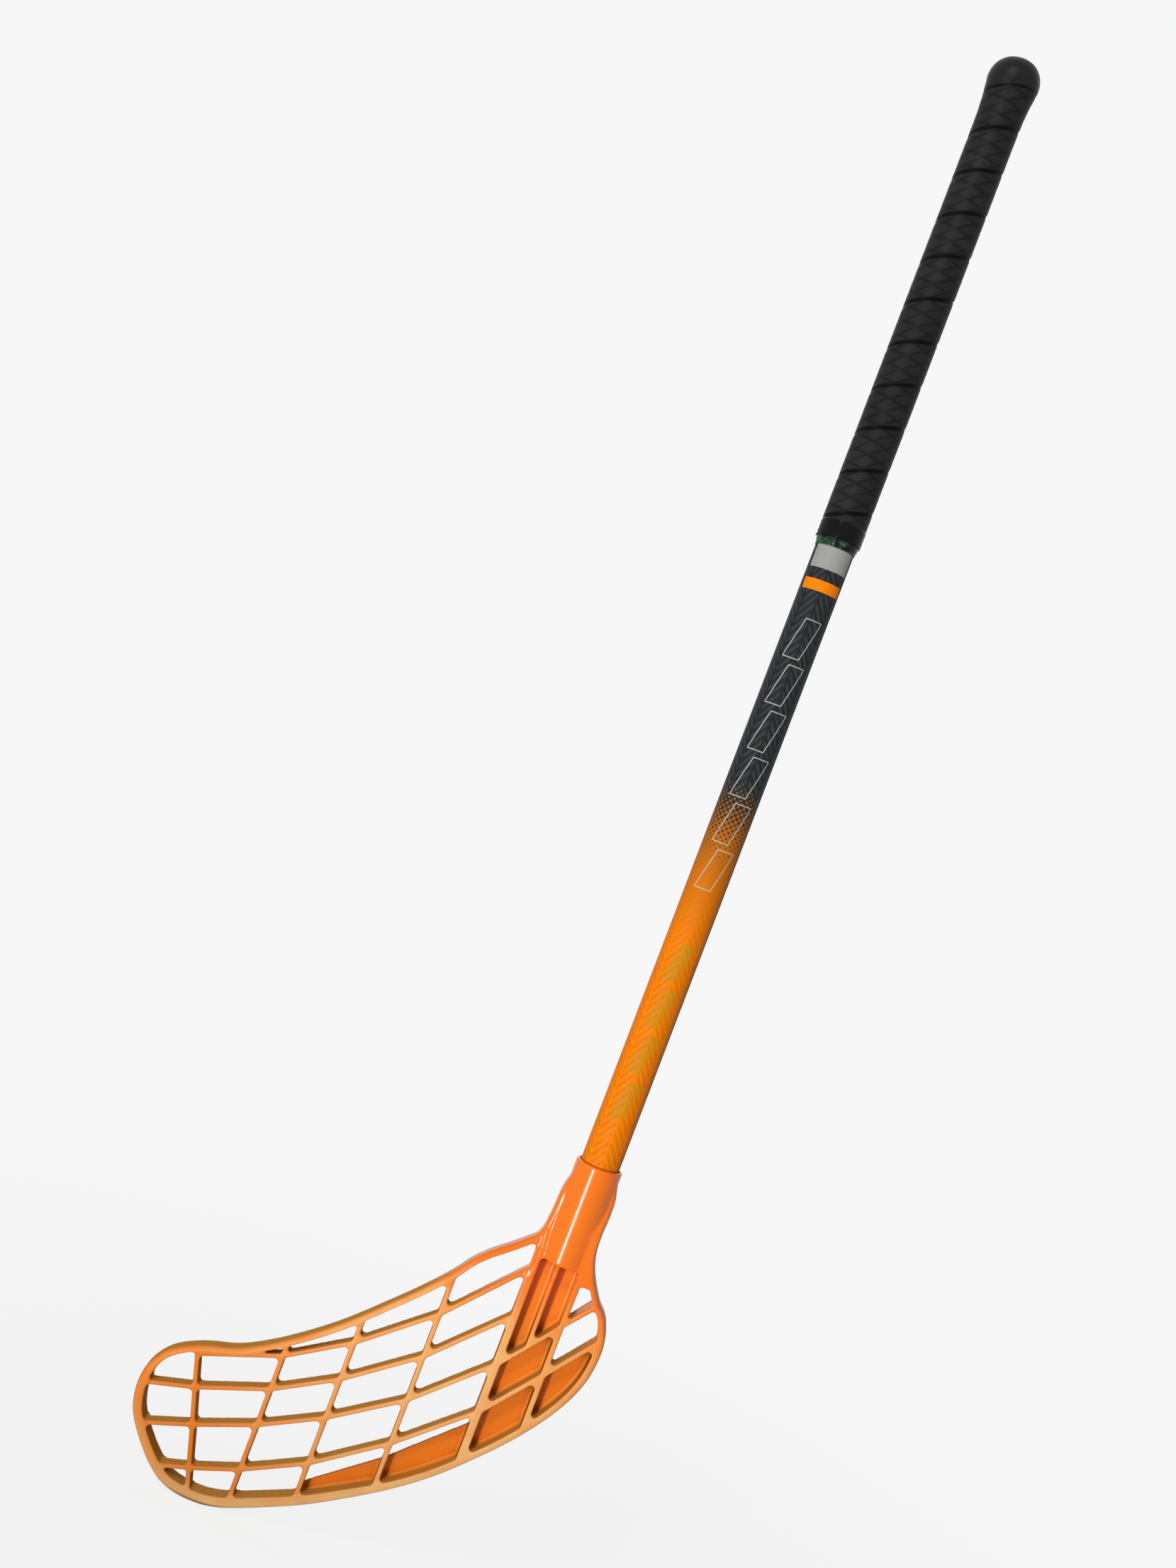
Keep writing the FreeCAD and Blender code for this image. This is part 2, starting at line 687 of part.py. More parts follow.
def rib_recesses(plan):
    """Room in front of the ribs and behind them, inside the rim; the back webs keep theirs."""
    stick = plan.stick
    stem_side = plan.point(RIB_SHARES[0][-1]).x - stick.stem_wall_width.value / 2
    inside = plan.face(plan.inner_outline()).makeOffset2D(-stick.rib_recess.value)
    inner = raised(inside, plan.front - plan.overrun, plan.back + plan.overrun)
    box = inner.BoundBox
    layers = (
        (box.YMin, plan.front + stick.rib_recess.value),
        (plan.back - stick.web_thickness.value, box.YMax),
    )
    recesses = []
    for start, end in layers:
        corner = Vector(box.XMin, start, box.ZMin)
        slab = Part.makeBox(stem_side - box.XMin, end - start, box.ZLength, corner)
        recesses.append(slab.common(inner))
    edge = [plan.point(shares) for shares in WEB_EDGE_SHARES]
    beyond = [plan.point(shares) for shares in RIB_SHARES[-1][-len(edge):]]
    corners = edge + beyond[::-1]
    web_face = Part.Face(Part.makePolygon(corners + corners[:1]))
    web = raised(web_face, plan.front, box.YMax + plan.overrun)
    return [recesses[0], recesses[1].cut(web)]


def neck_blocks(plan):
    """The thick neck that carries the socket, deeper on the heel side, tapering into the blade."""
    stick = plan.stick
    bottom = stick.tube_end.value - NECK_END_SHARE * stick.blade_drop.value
    core = plan.back / 2
    sides = plan.face(plan.outline()).makeOffset2D(-stick.neck_inset.value)
    within = raised(sides, -stick.neck_depth.value, stick.neck_depth.value)
    blocks = []
    for side, depth, top, shoulder in NECK_BLOCK_SHARES:
        half = depth * stick.neck_depth.value / 2
        upper = stick.tube_end.value + top * stick.socket_depth.value
        full = stick.tube_end.value + shoulder * stick.socket_depth.value
        profile = [(core, upper), (half, full), (half, stick.socket_end.value), (core, bottom)]
        corners = [Vector(0, -out, height) for out, height in profile]
        corners += [Vector(0, out, height) for out, height in reversed(profile)]
        across = Vector(side * stick.socket_radius.value, 0, 0)
        block = Part.Face(Part.makePolygon(corners + corners[:1])).extrude(across)
        blocks.append(block.common(within))
    return blocks


def make_blade_frame(doc, stick):
    """Rim, ribs, stem and heel as one flat moulding, with the neck block on it."""
    plan = BladePlan(stick)
    slab = raised(plan.face(plan.outline()), plan.front, plan.back)
    edges = []
    for face in slab.Faces:
        if abs(face.normalAt(0, 0).y) > 0.5:
            edges += sorted(face.Edges, key=lambda edge: edge.CenterOfMass.z)[:-1]
    slab = slab.makeFillet(stick.rim_rounding.value, edges)
    body = slab.fuse(neck_blocks(plan))
    for recess in rib_recesses(plan):
        body = body.cut(recess)
    body = body.cut(stem_openings(plan))
    body = body.cut(lattice_openings(plan))
    feature = doc.addObject("Part::Feature", "blade_frame")
    feature.Shape = body.Solids[0]
    return feature


def make_blade(doc, stick, holes):
    """The moulding: lattice frame, socket with its bore, and the screw holes."""
    frame = make_blade_frame(doc, stick)
    socket = primitive(
        doc,
        "Part::Cylinder",
        "socket",
        (("Radius", stick.socket_radius), ("Height", stick.socket_mouth - stick.socket_end)),
        (("z", stick.socket_end),),
    )
    bore = primitive(
        doc,
        "Part::Cylinder",
        "socket_bore",
        (
            ("Radius", stick.socket_bore),
            ("Height", stick.socket_depth + stick.wrap_clearance + stick.cut_overrun),
        ),
        (("z", stick.tube_end - stick.wrap_clearance),),
    )
    moulding = joined(doc, "Part::Fuse", "moulding", frame, socket)
    bored = joined(doc, "Part::Cut", "bored_moulding", moulding, bore)
    return joined(doc, "Part::Cut", "blade", bored, holes)


def build():
    doc = FreeCAD.newDocument("floorball_stick")
    sheet = make_sheet(doc)
    stick = Stick(sheet)

    levels = [stick.socket_mouth - stick.screw_drop]
    levels.append(levels[0] - stick.screw_spacing)
    screws = doc.addObject("Part::Compound", "blade_screws")
    screws.Links = [make_screw(doc, stick, "screw_%d" % n, level) for n, level in enumerate(levels, 1)]
    bored = [make_screw_hole(doc, stick, "hole_%d" % n, level) for n, level in enumerate(levels, 1)]
    holes = joined(doc, "Part::Fuse", "screw_holes", bored[0], bored[1])

    tube = ring(doc, "plain_tube", stick.tube_radius, stick.tube_bore, stick.tube_length, stick.tube_end)
    adhesive = ring(
        doc,
        "plain_adhesive",
        stick.socket_bore - stick.wrap_clearance,
        stick.film_inside,
        stick.socket_depth - stick.adhesive_inset,
        stick.tube_end,
    )
    end_tape = ring(
        doc,
        "finishing_tape",
        stick.band_inside + stick.end_tape_thickness,
        stick.band_inside,
        stick.end_tape_width,
        stick.grip_bottom,
    )
    pieces = [
        joined(doc, "Part::Cut", "shaft_tube", tube, holes),
        make_film(doc, stick),
        make_end_cap(doc, stick),
        make_grip_tape(doc, stick),
        end_tape,
        make_foil_band(doc, stick),
        joined(doc, "Part::Cut", "socket_adhesive", adhesive, holes),
        screws,
        make_blade(doc, stick, holes),
    ]
    doc.recompute()
    return doc, pieces


def check(doc, pieces):
    for item in doc.Objects:
        if "Invalid" in item.State or "Error" in item.State:
            raise RuntimeError("%s failed: %s" % (item.Label, item.State))
    for piece in pieces:
        if piece.Shape.isNull() or not piece.Shape.isValid():
            raise RuntimeError("%s has no valid shape" % piece.Label)


def export(pieces):
    os.makedirs("parts", exist_ok=True)
    for piece in pieces:
        piece.Shape.exportStep(os.path.join("parts", piece.Label + ".step"))
        print("%s: %d solid(s), %.1f mm3" % (piece.Label, len(piece.Shape.Solids), piece.Shape.Volume))


def main():
    doc, pieces = build()
    check(doc, pieces)
    export(pieces)


main()
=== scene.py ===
"""Looks of a floorball stick: wound grip, printed shaft and moulded lattice blade."""
import math

import bpy
from bpy.props import FloatProperty, FloatVectorProperty, PointerProperty
from mathutils import Matrix, Vector, noise


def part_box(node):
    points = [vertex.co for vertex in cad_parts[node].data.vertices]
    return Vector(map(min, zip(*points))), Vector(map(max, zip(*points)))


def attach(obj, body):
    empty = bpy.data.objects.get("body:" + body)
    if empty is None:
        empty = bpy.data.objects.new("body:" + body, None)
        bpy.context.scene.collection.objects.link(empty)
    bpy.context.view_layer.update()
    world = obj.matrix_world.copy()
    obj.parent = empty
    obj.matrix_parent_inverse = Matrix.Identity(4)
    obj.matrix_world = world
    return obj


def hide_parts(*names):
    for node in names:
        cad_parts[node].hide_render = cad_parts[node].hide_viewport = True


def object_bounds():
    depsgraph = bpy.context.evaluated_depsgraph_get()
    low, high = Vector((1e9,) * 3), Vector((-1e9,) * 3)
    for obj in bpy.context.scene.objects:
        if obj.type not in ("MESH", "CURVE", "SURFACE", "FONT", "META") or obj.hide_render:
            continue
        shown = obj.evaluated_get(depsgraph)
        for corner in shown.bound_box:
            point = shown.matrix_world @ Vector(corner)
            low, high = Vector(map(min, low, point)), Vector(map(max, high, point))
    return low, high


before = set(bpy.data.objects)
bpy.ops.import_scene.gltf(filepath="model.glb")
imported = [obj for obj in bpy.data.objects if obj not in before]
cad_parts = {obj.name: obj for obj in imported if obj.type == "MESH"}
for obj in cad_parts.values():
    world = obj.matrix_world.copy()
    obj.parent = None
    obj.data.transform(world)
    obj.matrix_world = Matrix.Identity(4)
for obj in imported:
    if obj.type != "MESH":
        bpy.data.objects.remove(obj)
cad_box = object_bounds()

bl_info = {
    "name": "Floorball stick",
    "version": (1, 0, 0),
    "blender": (4, 5, 0),
    "location": "3D View > Sidebar > Stick",
    "description": "Dresses the packed solids of a floorball stick with grip, print and blade",
    "category": "Add Mesh",
}

MM = 0.001
TURN = 2 * math.pi

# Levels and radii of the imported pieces, in millimetres
GRIP_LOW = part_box("grip_tape")[0].z / MM
GRIP_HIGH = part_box("grip_tape")[1].z / MM
FILM_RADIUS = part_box("shaft_film")[1].y / MM
TAPE_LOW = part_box("finishing_tape")[0].z / MM
TAPE_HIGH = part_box("finishing_tape")[1].z / MM
TAPE_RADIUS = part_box("finishing_tape")[1].y / MM
FOIL_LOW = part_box("foil_band")[0].z / MM
FOIL_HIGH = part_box("foil_band")[1].z / MM
FOIL_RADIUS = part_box("foil_band")[1].y / MM
KNOB_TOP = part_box("end_cap")[1].z / MM
FLOOR_LEVEL = cad_box[0][2]


def linear(code):
    """Linear red, green and blue of an sRGB hex colour."""
    channels = []
    for place in (1, 3, 5):
        value = int(code[place:place + 2], 16) / 255
        channels.append(value / 12.92 if value <= 0.04045 else ((value + 0.055) / 1.055) ** 2.4)
    return tuple(channels)


def size(name, millimetres, text):
    """Property for a length, given in millimetres and kept in metres."""
    return FloatProperty(
        name=name, description=text, default=millimetres * MM, unit="LENGTH", precision=5
    )


def colour(name, code, text):
    """Property for a colour, given as an sRGB hex value."""
    return FloatVectorProperty(
        name=name, description=text, default=linear(code), subtype="COLOR", min=0, max=1
    )


class STICK_PG_grip(bpy.types.PropertyGroup):
    pitch: size("Pitch", 22.8, "Step of the winding from turn to turn")
    gap: size("Gap", 0.12, "Gap between two turns")
    thickness: size("Thickness", 1.45, "Thickness of the grip strip")
    shoulder: size("Shoulder", 1.6, "Width of the strip's rounded edges")
    shoulder_drop: size("Shoulder drop", 0.2, "Height of the strip's rounded edges")
    net: size("Net", 6.6, "Spacing of the embossed lines")
    groove_width: size("Groove width", 1.4, "Width of the embossed lines")
    groove_depth: size("Groove depth", 0.1, "Depth of the embossed lines")
    foam: colour("Foam", "#252526", "Surface of the strip")
    groove: colour("Grooves", "#060607", "Bottom of the embossed lines and the seams")
    knob: colour("Knob", "#1E1E1F", "Rubber of the knob")


class STICK_PG_bands(bpy.types.PropertyGroup):
    ripple: size("Ripple", 2.3, "Spacing of the ridges that stretching leaves in the tape")
    lap: size("Lap", 0.16, "Step at the tape's end")
    crease: size("Crease", 1.1, "Size of the facets in the foil")
    tape: colour("Tape", "#070708", "Finishing tape")
    foil: colour("Foil", "#17161A", "Dark parts of the foil")
    # Hues of the painted sheen and painted glints on the foil
    foil_green: colour("Foil, first hue", "#2F9A5C", "Glints of the foil")
    foil_pink: colour("Foil, second hue", "#7A2A5C", "Glints of the foil")


class STICK_PG_print(bpy.types.PropertyGroup):
    bar: size("Bar", 5.2, "Step of the slanted bars along the shaft")
    dot: size("Dot", 2.2, "Spacing of the halftone dots")
    frame_length: size("Frame", 21, "Length of the slanted outlines on the dark half")
    frame_step: size("Frame step", 24.6, "Step from one slanted outline to the next")
    dark: colour("Dark", "#1D2427", "Ground of the upper half")
    dark_bar: colour("Dark bars", "#3B3C3C", "Bars on the upper half")
    orange: colour("Orange", "#EC7E02", "Ground of the lower half")
    brown: colour("Brown", "#7E4E16", "Orange ink where its fade begins")
    orange_bar: colour("Orange bars", "#D86E00", "Bars on the lower half")
    pale_block: colour("Pale block", "#9B9B97", "Block below the grip")
    orange_block: colour("Orange block", "#F58300", "Narrow block below the pale one")
    line: colour("Outline", "#B9B6AE", "Thin slanted outlines")
    olive: colour("Olive", "#A98A18", "Slanted blocks on the lower half")


class STICK_PG_blade(bpy.types.PropertyGroup):
    voxel: size("Voxel", 0.55, "Mesh size of the moulding")
    # Height of the painted highlight along the lower edge
    edge_highlight: size("Highlight", 9, "Height of the worn lower edge")
    # Reach of the painted shade in the pockets' corners
    shade: size("Shade", 5.5, "Reach of the dust in the pockets' corners")
    plastic: colour("Plastic", "#F07200", "Moulded blade")
    # Painted sheen on the faces of rim and ribs
    plastic_sheen: colour("Pale plastic", "#EA8A30", "Rubbed faces of rim and ribs")
    # Painted highlight on the lower edge and on the front
    plastic_highlight: colour("Highlit plastic", "#FADC98", "Lower edge and front, worn on the floor")
    # Painted light on the bottoms of the pockets
    plastic_floor_light: colour("Golden plastic", "#FFA52C", "Floors of the pockets")
    # Painted shade on the walls inside the openings
    plastic_wall_shade: colour("Deep plastic", "#7A520E", "Dull walls inside the openings")
    # Painted light on the walls that face up
    plastic_lit_wall: colour("Lit plastic", "#B98C40", "Walls that face up, with dust on them")
    steel: colour("Steel", "#B9BABB", "Screws")
    glue: colour("Glue", "#C9A66A", "Hot melt between tube and socket")
    composite: colour("Composite", "#131415", "Bare tube")


class STICK_PG_stage(bpy.types.PropertyGroup):
    floor_radius: size("Floor", 700, "Radius at which the floor has faded out")
    backdrop: colour("Backdrop", "#F7F7F7", "Floor and background")


# Settings of a Mix node that multiplies two colours
MULTIPLY = {"data_type": "RGBA", "blend_type": "MULTIPLY"}


def add(tree, kind, sockets=None, **settings):
    """Adds a node with its settings, its socket values and its links, and returns its first output.

    Sockets go by name or by number. A Map Range has its value at 0, the range that this is taken
    from at 1 and 2, and the range that it is put into at 3 and 4. A Mix of colours has its share
    at 0 and the two colours at 6 and 7.
    """
    made = tree.nodes.new(kind)
    for name, value in settings.items():
        setattr(made, name, value)
    for key, value in (sockets or {}).items():
        if isinstance(value, bpy.types.NodeSocket):
            tree.links.new(value, made.inputs[key])
        elif isinstance(value, tuple) and len(value) == 3 and made.inputs[key].type == "RGBA":
            made.inputs[key].default_value = (*value, 1)
        else:
            made.inputs[key].default_value = value
    return next((socket for socket in made.outputs if socket.enabled), None)


def new_material(name):
    """A new material, its node tree and its shader."""
    material = bpy.data.materials.new(name)
    material.use_nodes = True
    tree = material.node_tree
    return material, tree, tree.nodes["Principled BSDF"]


def link(tree, shader, **sockets):
    """Links outputs to the shader's sockets, named with underscores for spaces."""
    for name, output in sockets.items():
        tree.links.new(output, shader.inputs[name.replace("_", " ")])


def constants(shader, **sockets):
    """Sets the shader's sockets that are the same all over the surface."""
    for name, value in sockets.items():
        shader.inputs[name.replace("_", " ")].default_value = value


def dress(item, material):
    """Gives an object this one material."""
    item.data.materials.clear()
    item.data.materials.append(material)


def new_piece(name, points, faces, material, slot, *nodes):
    """A smooth mesh from points in millimetres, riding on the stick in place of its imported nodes."""
    mesh = bpy.data.meshes.new(name)
    mesh.from_pydata([Vector(point) * MM for point in points], [], faces)
    mesh.validate()
    mesh.shade_smooth()
    piece = bpy.data.objects.new(name, mesh)
    bpy.context.scene.collection.objects.link(piece)
    dress(piece, material)
    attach(piece, "root")
    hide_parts(*nodes)
    return piece


def strips(loops, closed=True):
    """Faces between successive loops of the same number of points."""
    count = len(loops[0])
    faces = []
    for here, there in zip(loops, loops[1:]):
        for place in range(count if closed else count - 1):
            after = (place + 1) % count
            faces.append((here[place], there[place], there[after], here[after]))
    return faces


def add_section(points, loops, angle, section):
    """Adds a section of radii and heights, at an angle round the shaft, to the points and the loops."""
    loops.append(range(len(points), len(points) + len(section)))
    for radius, height in section:
        points.append((radius * math.cos(angle), radius * math.sin(angle), height))


def between(value, table):
    """Smooth value between the pairs of a table that rises in its first numbers."""
    for index in range(len(table) - 1):
        low, high = table[index], table[index + 1]
        if value <= high[0] or index == len(table) - 2:
            share = min(max((value - low[0]) / (high[0] - low[0]), 0), 1)
            before = table[max(index - 1, 0)]
            beyond = table[min(index + 2, len(table) - 1)]
            run = high[0] - low[0]
            leave = (high[1] - before[1]) / (high[0] - before[0]) * run
            arrive = (beyond[1] - low[1]) / (beyond[0] - low[0]) * run
            square, cube = share ** 2, share ** 3
            return (
                (2 * cube - 3 * square + 1) * low[1]
                + (cube - 2 * square + share) * leave
                + (3 * square - 2 * cube) * high[1]
                + (cube - square) * arrive
            )


# Outside of the grip and the knob: heights above the winding's end and radii, millimetres
GRIP_SHAPE = (
    (-30, 11.6), (-22, 11.6), (-13.2, 11.69), (-6.6, 11.95), (0, 12.5), (3.5, 13.0), (7, 13.5)
)
KNOB_SHAPE = ((0, 12.5), (3.5, 13.0), (7, 13.5), (9.5, 13.48))

# Dome of the knob: radii and heights above the winding's end, millimetres
DOME_SHAPE = (
    (13.48, 9.5), (13.03, 12.3), (11.67, 15.2), (9.57, 17.6), (7.16, 19.2), (4.0, 20.15), (1.6, 20.39)
)
DOME_LOW = DOME_SHAPE[0][1]

# Lower edge of the knob: its mean height above the winding's end and its tilt, millimetres
KNOB_LEVEL = 3.0
KNOB_TILT = 3.0

# Side on which the winding starts, and leans of the two sets of embossed lines
SEAM_ANGLE = math.radians(52)
NET_LEANS = (math.radians(21), math.radians(-27))


def grip_radius(height):
    """Outer radius of the winding at a height, millimetres."""
    return between(height - GRIP_HIGH, GRIP_SHAPE)


def knob_edge(angle):
    """Height of the knob's lower edge, which is a slightly tilted ring."""
    return GRIP_HIGH + KNOB_LEVEL + KNOB_TILT * math.cos(angle)


def embossing(sizes, along, across):
    """Depth of the embossed net at a place of the strip, from 0 to 1."""
    spacing = sizes.net / MM
    half = sizes.groove_width / MM / 2
    deepest = 0
    for lean in NET_LEANS:
        offset = (across * math.cos(lean) - along * math.sin(lean)) / spacing
        off_line = abs(offset - round(offset)) * spacing
        deepest = max(deepest, math.exp(-(off_line / half) ** 2))
    return deepest


class STICK_OT_grip(bpy.types.Operator):
    """Wind the embossed strip round the upper end of the shaft"""

    bl_idname = "stick.grip"
    bl_label = "Grip strip"

    # Points across the strip, and step along it in millimetres
    columns = 54
    step = 0.5

    # Depth of the net as a share of the groove depth, and how fast the strip's edges reach all of it
    net_share = 0.6
    edge_rise = 2.2

    # Unevenness of the winding: its length and height, millimetres
    wave = 14
    wave_height = 0.04

    def execute(self, context):
        sizes = context.scene.stick_grip
        pitch = sizes.pitch / MM
        gap = sizes.gap / MM
        shoulder = sizes.shoulder / MM
        shoulder_drop = sizes.shoulder_drop / MM
        thickness = sizes.thickness / MM
        groove_depth = sizes.groove_depth / MM
        girth = TURN * grip_radius(0)
        points, loops, depths = [], [], []
        turn = -1 + 2 * gap / pitch
        while True:
            angle = turn * TURN + SEAM_ANGLE
            seam = GRIP_LOW + turn * pitch
            low = max(seam + gap / 2, GRIP_LOW)
            high = min(seam + pitch - gap / 2, knob_edge(angle) - gap / 4)
            if high - low < gap:
                break
            section = [(grip_radius(low) - thickness, low)]
            depths.append(1)
            for column in range(self.columns):
                height = low + (high - low) * column / (self.columns - 1)
                edge = 1 - min(height - low, high - height, shoulder) / shoulder
                net = self.net_share * embossing(sizes, turn * girth, height - seam)
                depth = max(net, min(self.edge_rise * edge, 1))
                place = Vector((math.cos(angle), math.sin(angle), height / self.wave))
                uneven = noise.noise(place) * self.wave_height
                sunk = edge ** 2 * shoulder_drop + depth * groove_depth
                section.append((grip_radius(height) - sunk + uneven, height))
                depths.append(depth)
            section.append((grip_radius(high) - thickness, high))
            depths.append(1)
            add_section(points, loops, angle, section)
            turn += self.step / girth
        faces = strips(loops)
        faces += [tuple(loops[0]), tuple(reversed(loops[-1]))]
        piece = new_piece("grip_strip", points, faces, grip_material(sizes), "grip_foam", "grip_tape")
        piece.data.attributes.new("groove", "FLOAT", "POINT").data.foreach_set("value", depths)
        return {"FINISHED"}


class STICK_OT_knob(bpy.types.Operator):
    """Mould the knob on the butt end"""

    bl_idname = "stick.knob"
    bl_label = "Knob"

    # Points round the knob
    segments = 128

    # Millimetres: wall of the tube, room round the plug, chamfer of the plug, depth of the skirt
    # under the strip, and height and rounding of the lower lip
    tube_wall = 1.4
    clearance = 0.05
    chamfer = 0.6
    skirt = 13
    lip_height = 0.9
    lip_rounding = 0.06

    # Lower lip: how far it stands back, in millimetres, at shares of the groove under it
    lip = ((0.7, 0.2), (0.25, 0.7))

    # Shares of the skirt's and the side's heights at which they have points
    skirt_shares = (0.25, 0.5, 0.75, 1)
    side_shares = (0, 0.15, 0.35, 0.6, 0.8, 1)

    def execute(self, context):
        sizes = context.scene.stick_grip
        under = sizes.thickness / MM + self.clearance
        groove = sizes.gap / MM / 2
        plug_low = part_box("end_cap")[0].z / MM
        tube_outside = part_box("shaft_tube")[1].y / MM
        plug_radius = tube_outside - self.tube_wall - self.clearance
        bore_radius = tube_outside + self.clearance
        bore_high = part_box("shaft_tube")[1].z / MM + self.clearance
        skirt_low = GRIP_HIGH - self.skirt
        points, loops = [], []
        for step in range(self.segments):
            angle = step * TURN / self.segments
            edge = knob_edge(angle)
            start = edge - GRIP_HIGH
            profile = [
                (plug_radius / 2, plug_low),
                (plug_radius - self.chamfer, plug_low),
                (plug_radius, plug_low + self.chamfer),
                (plug_radius, bore_high),
                (bore_radius, bore_high),
                (bore_radius, skirt_low),
                (grip_radius(skirt_low) - under, skirt_low),
            ]
            for share in self.skirt_shares:
                height = skirt_low + (edge - skirt_low) * share
                profile.append((grip_radius(height) - under, height))
            rim = between(start, KNOB_SHAPE)
            profile += [(rim - inset, edge + groove * share) for inset, share in self.lip]
            side_low = start + self.lip_height
            for share in self.side_shares:
                height = side_low + (DOME_LOW - side_low) * share
                rounding = self.lip_rounding if share == 0 else 0
                profile.append((between(height, KNOB_SHAPE) - rounding, GRIP_HIGH + height))
            profile += [(radius, GRIP_HIGH + height) for radius, height in DOME_SHAPE[1:]]
            add_section(points, loops, angle, profile)
        faces = strips(loops + loops[:1], closed=False)
        for place, height in ((0, plug_low), (-1, KNOB_TOP)):
            points.append((0, 0, height))
            for here, there in zip(loops, loops[1:] + loops[:1]):
                corner = (here[place], there[place], len(points) - 1)
                faces.append(corner if place else corner[::-1])
        piece = new_piece("knob", points, faces, knob_material(sizes), "knob_rubber", "end_cap")
        piece.modifiers.new("smooth", "SUBSURF").render_levels = 1
        return {"FINISHED"}


class STICK_OT_bands(bpy.types.Operator):
    """Wrap the finishing tape and the foil below the grip"""

    bl_idname = "stick.bands"
    bl_label = "Tape and foil"

    # Points round and along each band, and its thickness in millimetres
    segments = 200
    rows = 20
    thickness = 0.2

    # Tape, millimetres: the roll of its edges, its ridges' height, its unevenness' length and height
    tape_roll = 0.12
    tape_ridge = 0.06
    tape_wave = 3
    tape_wave_height = 0.05

    # Tape: the share of its width that is rolled, the side on which it ends, and the number and the
    # reach of the waves of its ridges round the shaft
    tape_roll_share = 0.06
    tape_end = math.radians(140)
    tape_sways = 3
    tape_sway = 0.5

    # Foil: how far its lower edge stands off and how long its creases are, in millimetres, and the
    # fineness and the height of the broad and the fine creases
    foil_stand = 0.35
    foil_stretch = 9
    foil_creases = ((9, 0.09), (20.7, 0.05))

    def band(self, name, shape, material, slot, node):
        """A closed sleeve whose outside is given as a function of angle and share of its height."""
        points, loops = [], []
        for step in range(self.segments):
            angle = step * TURN / self.segments
            section = [shape(angle, row / self.rows) for row in range(self.rows + 1)]
            low, high = section[0], section[-1]
            section += [(high[0] - self.thickness, high[1]), (low[0] - self.thickness, low[1])]
            add_section(points, loops, angle, section)
        return new_piece(name, points, strips(loops + loops[:1]), material, slot, node)

    def execute(self, context):
        sizes = context.scene.stick_bands
        lap = sizes.lap / MM
        ripple = sizes.ripple / MM

        def tape(angle, share):
            height = TAPE_LOW + (TAPE_HIGH - TAPE_LOW) * share
            wound = ((angle - self.tape_end) / TURN) % 1 - 0.5
            flat = min(min(share, 1 - share) / self.tape_roll_share, 1)
            roll = self.tape_roll * (1 - flat) ** 2
            sway = self.tape_sway * math.sin(angle * self.tape_sways)
            ridge = math.sin(height / ripple * TURN + sway) * self.tape_ridge
            place = Vector((math.cos(angle), math.sin(angle), height / self.tape_wave))
            uneven = noise.noise(place) * self.tape_wave_height
            return TAPE_RADIUS + lap * wound + ridge + uneven - roll, height

        def foil(angle, share):
            height = FOIL_LOW + (FOIL_HIGH - FOIL_LOW) * share
            lowest = FILM_RADIUS + self.foil_stand
            radius = lowest + (FOIL_RADIUS - lowest) * share
            place = Vector((math.cos(angle), math.sin(angle), height / self.foil_stretch))
            for fineness, tall in self.foil_creases:
                radius += noise.noise(place * fineness) * tall
            return radius, height

        self.band("finishing_wrap", tape, tape_material(sizes), "vinyl_tape", "finishing_tape")
        self.band("foil_wrap", foil, foil_material(sizes), "foil", "foil_band")
        return {"FINISHED"}


class STICK_OT_shaft(bpy.types.Operator):
    """Finish the printed film and the bare tube"""

    bl_idname = "stick.shaft"
    bl_label = "Shaft"

    def execute(self, context):
        dress(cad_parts["shaft_film"], print_material(context.scene.stick_print))
        dress(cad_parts["shaft_tube"], composite_material(context.scene.stick_blade))
        return {"FINISHED"}


class STICK_OT_blade(bpy.types.Operator):
    """Mould the lattice blade with softened edges"""

    bl_idname = "stick.blade"
    bl_label = "Blade"

    # How far and how often the moulding's edges are smoothed
    softening = 0.5
    softening_rounds = 7

    def edge_highlight(self, mesh, reach):
        """Stores how near each point is to the blade's lowest edge below it, from 1 there to 0, as the
        reach of the painted highlight along that edge.
        """
        lowest = {}
        for point in mesh.vertices:
            strip = round(point.co.x / reach)
            lowest[strip] = min(lowest.get(strip, 0), point.co.z)
        near = []
        for point in mesh.vertices:
            place = point.co.x / reach
            left = math.floor(place)
            share = place - left
            edge = lowest.get(left, 0) * (1 - share) + lowest.get(left + 1, lowest.get(left, 0)) * share
            near.append(math.exp(-((point.co.z - edge) / reach) ** 2))
        mesh.attributes.new("edge_highlight", "FLOAT", "POINT").data.foreach_set("value", near)

    def execute(self, context):
        sizes = context.scene.stick_blade
        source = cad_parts["blade"]
        piece = bpy.data.objects.new("blade_moulding", source.data.copy())
        context.scene.collection.objects.link(piece)
        remesh = piece.modifiers.new("moulded", "REMESH")
        remesh.mode = "VOXEL"
        remesh.voxel_size = sizes.voxel
        smooth = piece.modifiers.new("softened", "SMOOTH")
        smooth.factor = self.softening
        smooth.iterations = self.softening_rounds
        context.view_layer.update()
        evaluated = piece.evaluated_get(context.evaluated_depsgraph_get())
        softened = bpy.data.meshes.new_from_object(evaluated)
        piece.modifiers.clear()
        piece.data = softened
        piece.data.shade_smooth()
        # Reach of the painted highlight along the lower edge
        self.edge_highlight(piece.data, sizes.edge_highlight)
        dress(piece, plastic_material(sizes))
        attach(piece, "root")
        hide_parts("blade")
        dress(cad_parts["blade_screws"], steel_material(sizes))
        dress(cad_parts["socket_adhesive"], glue_material(sizes))
        return {"FINISHED"}


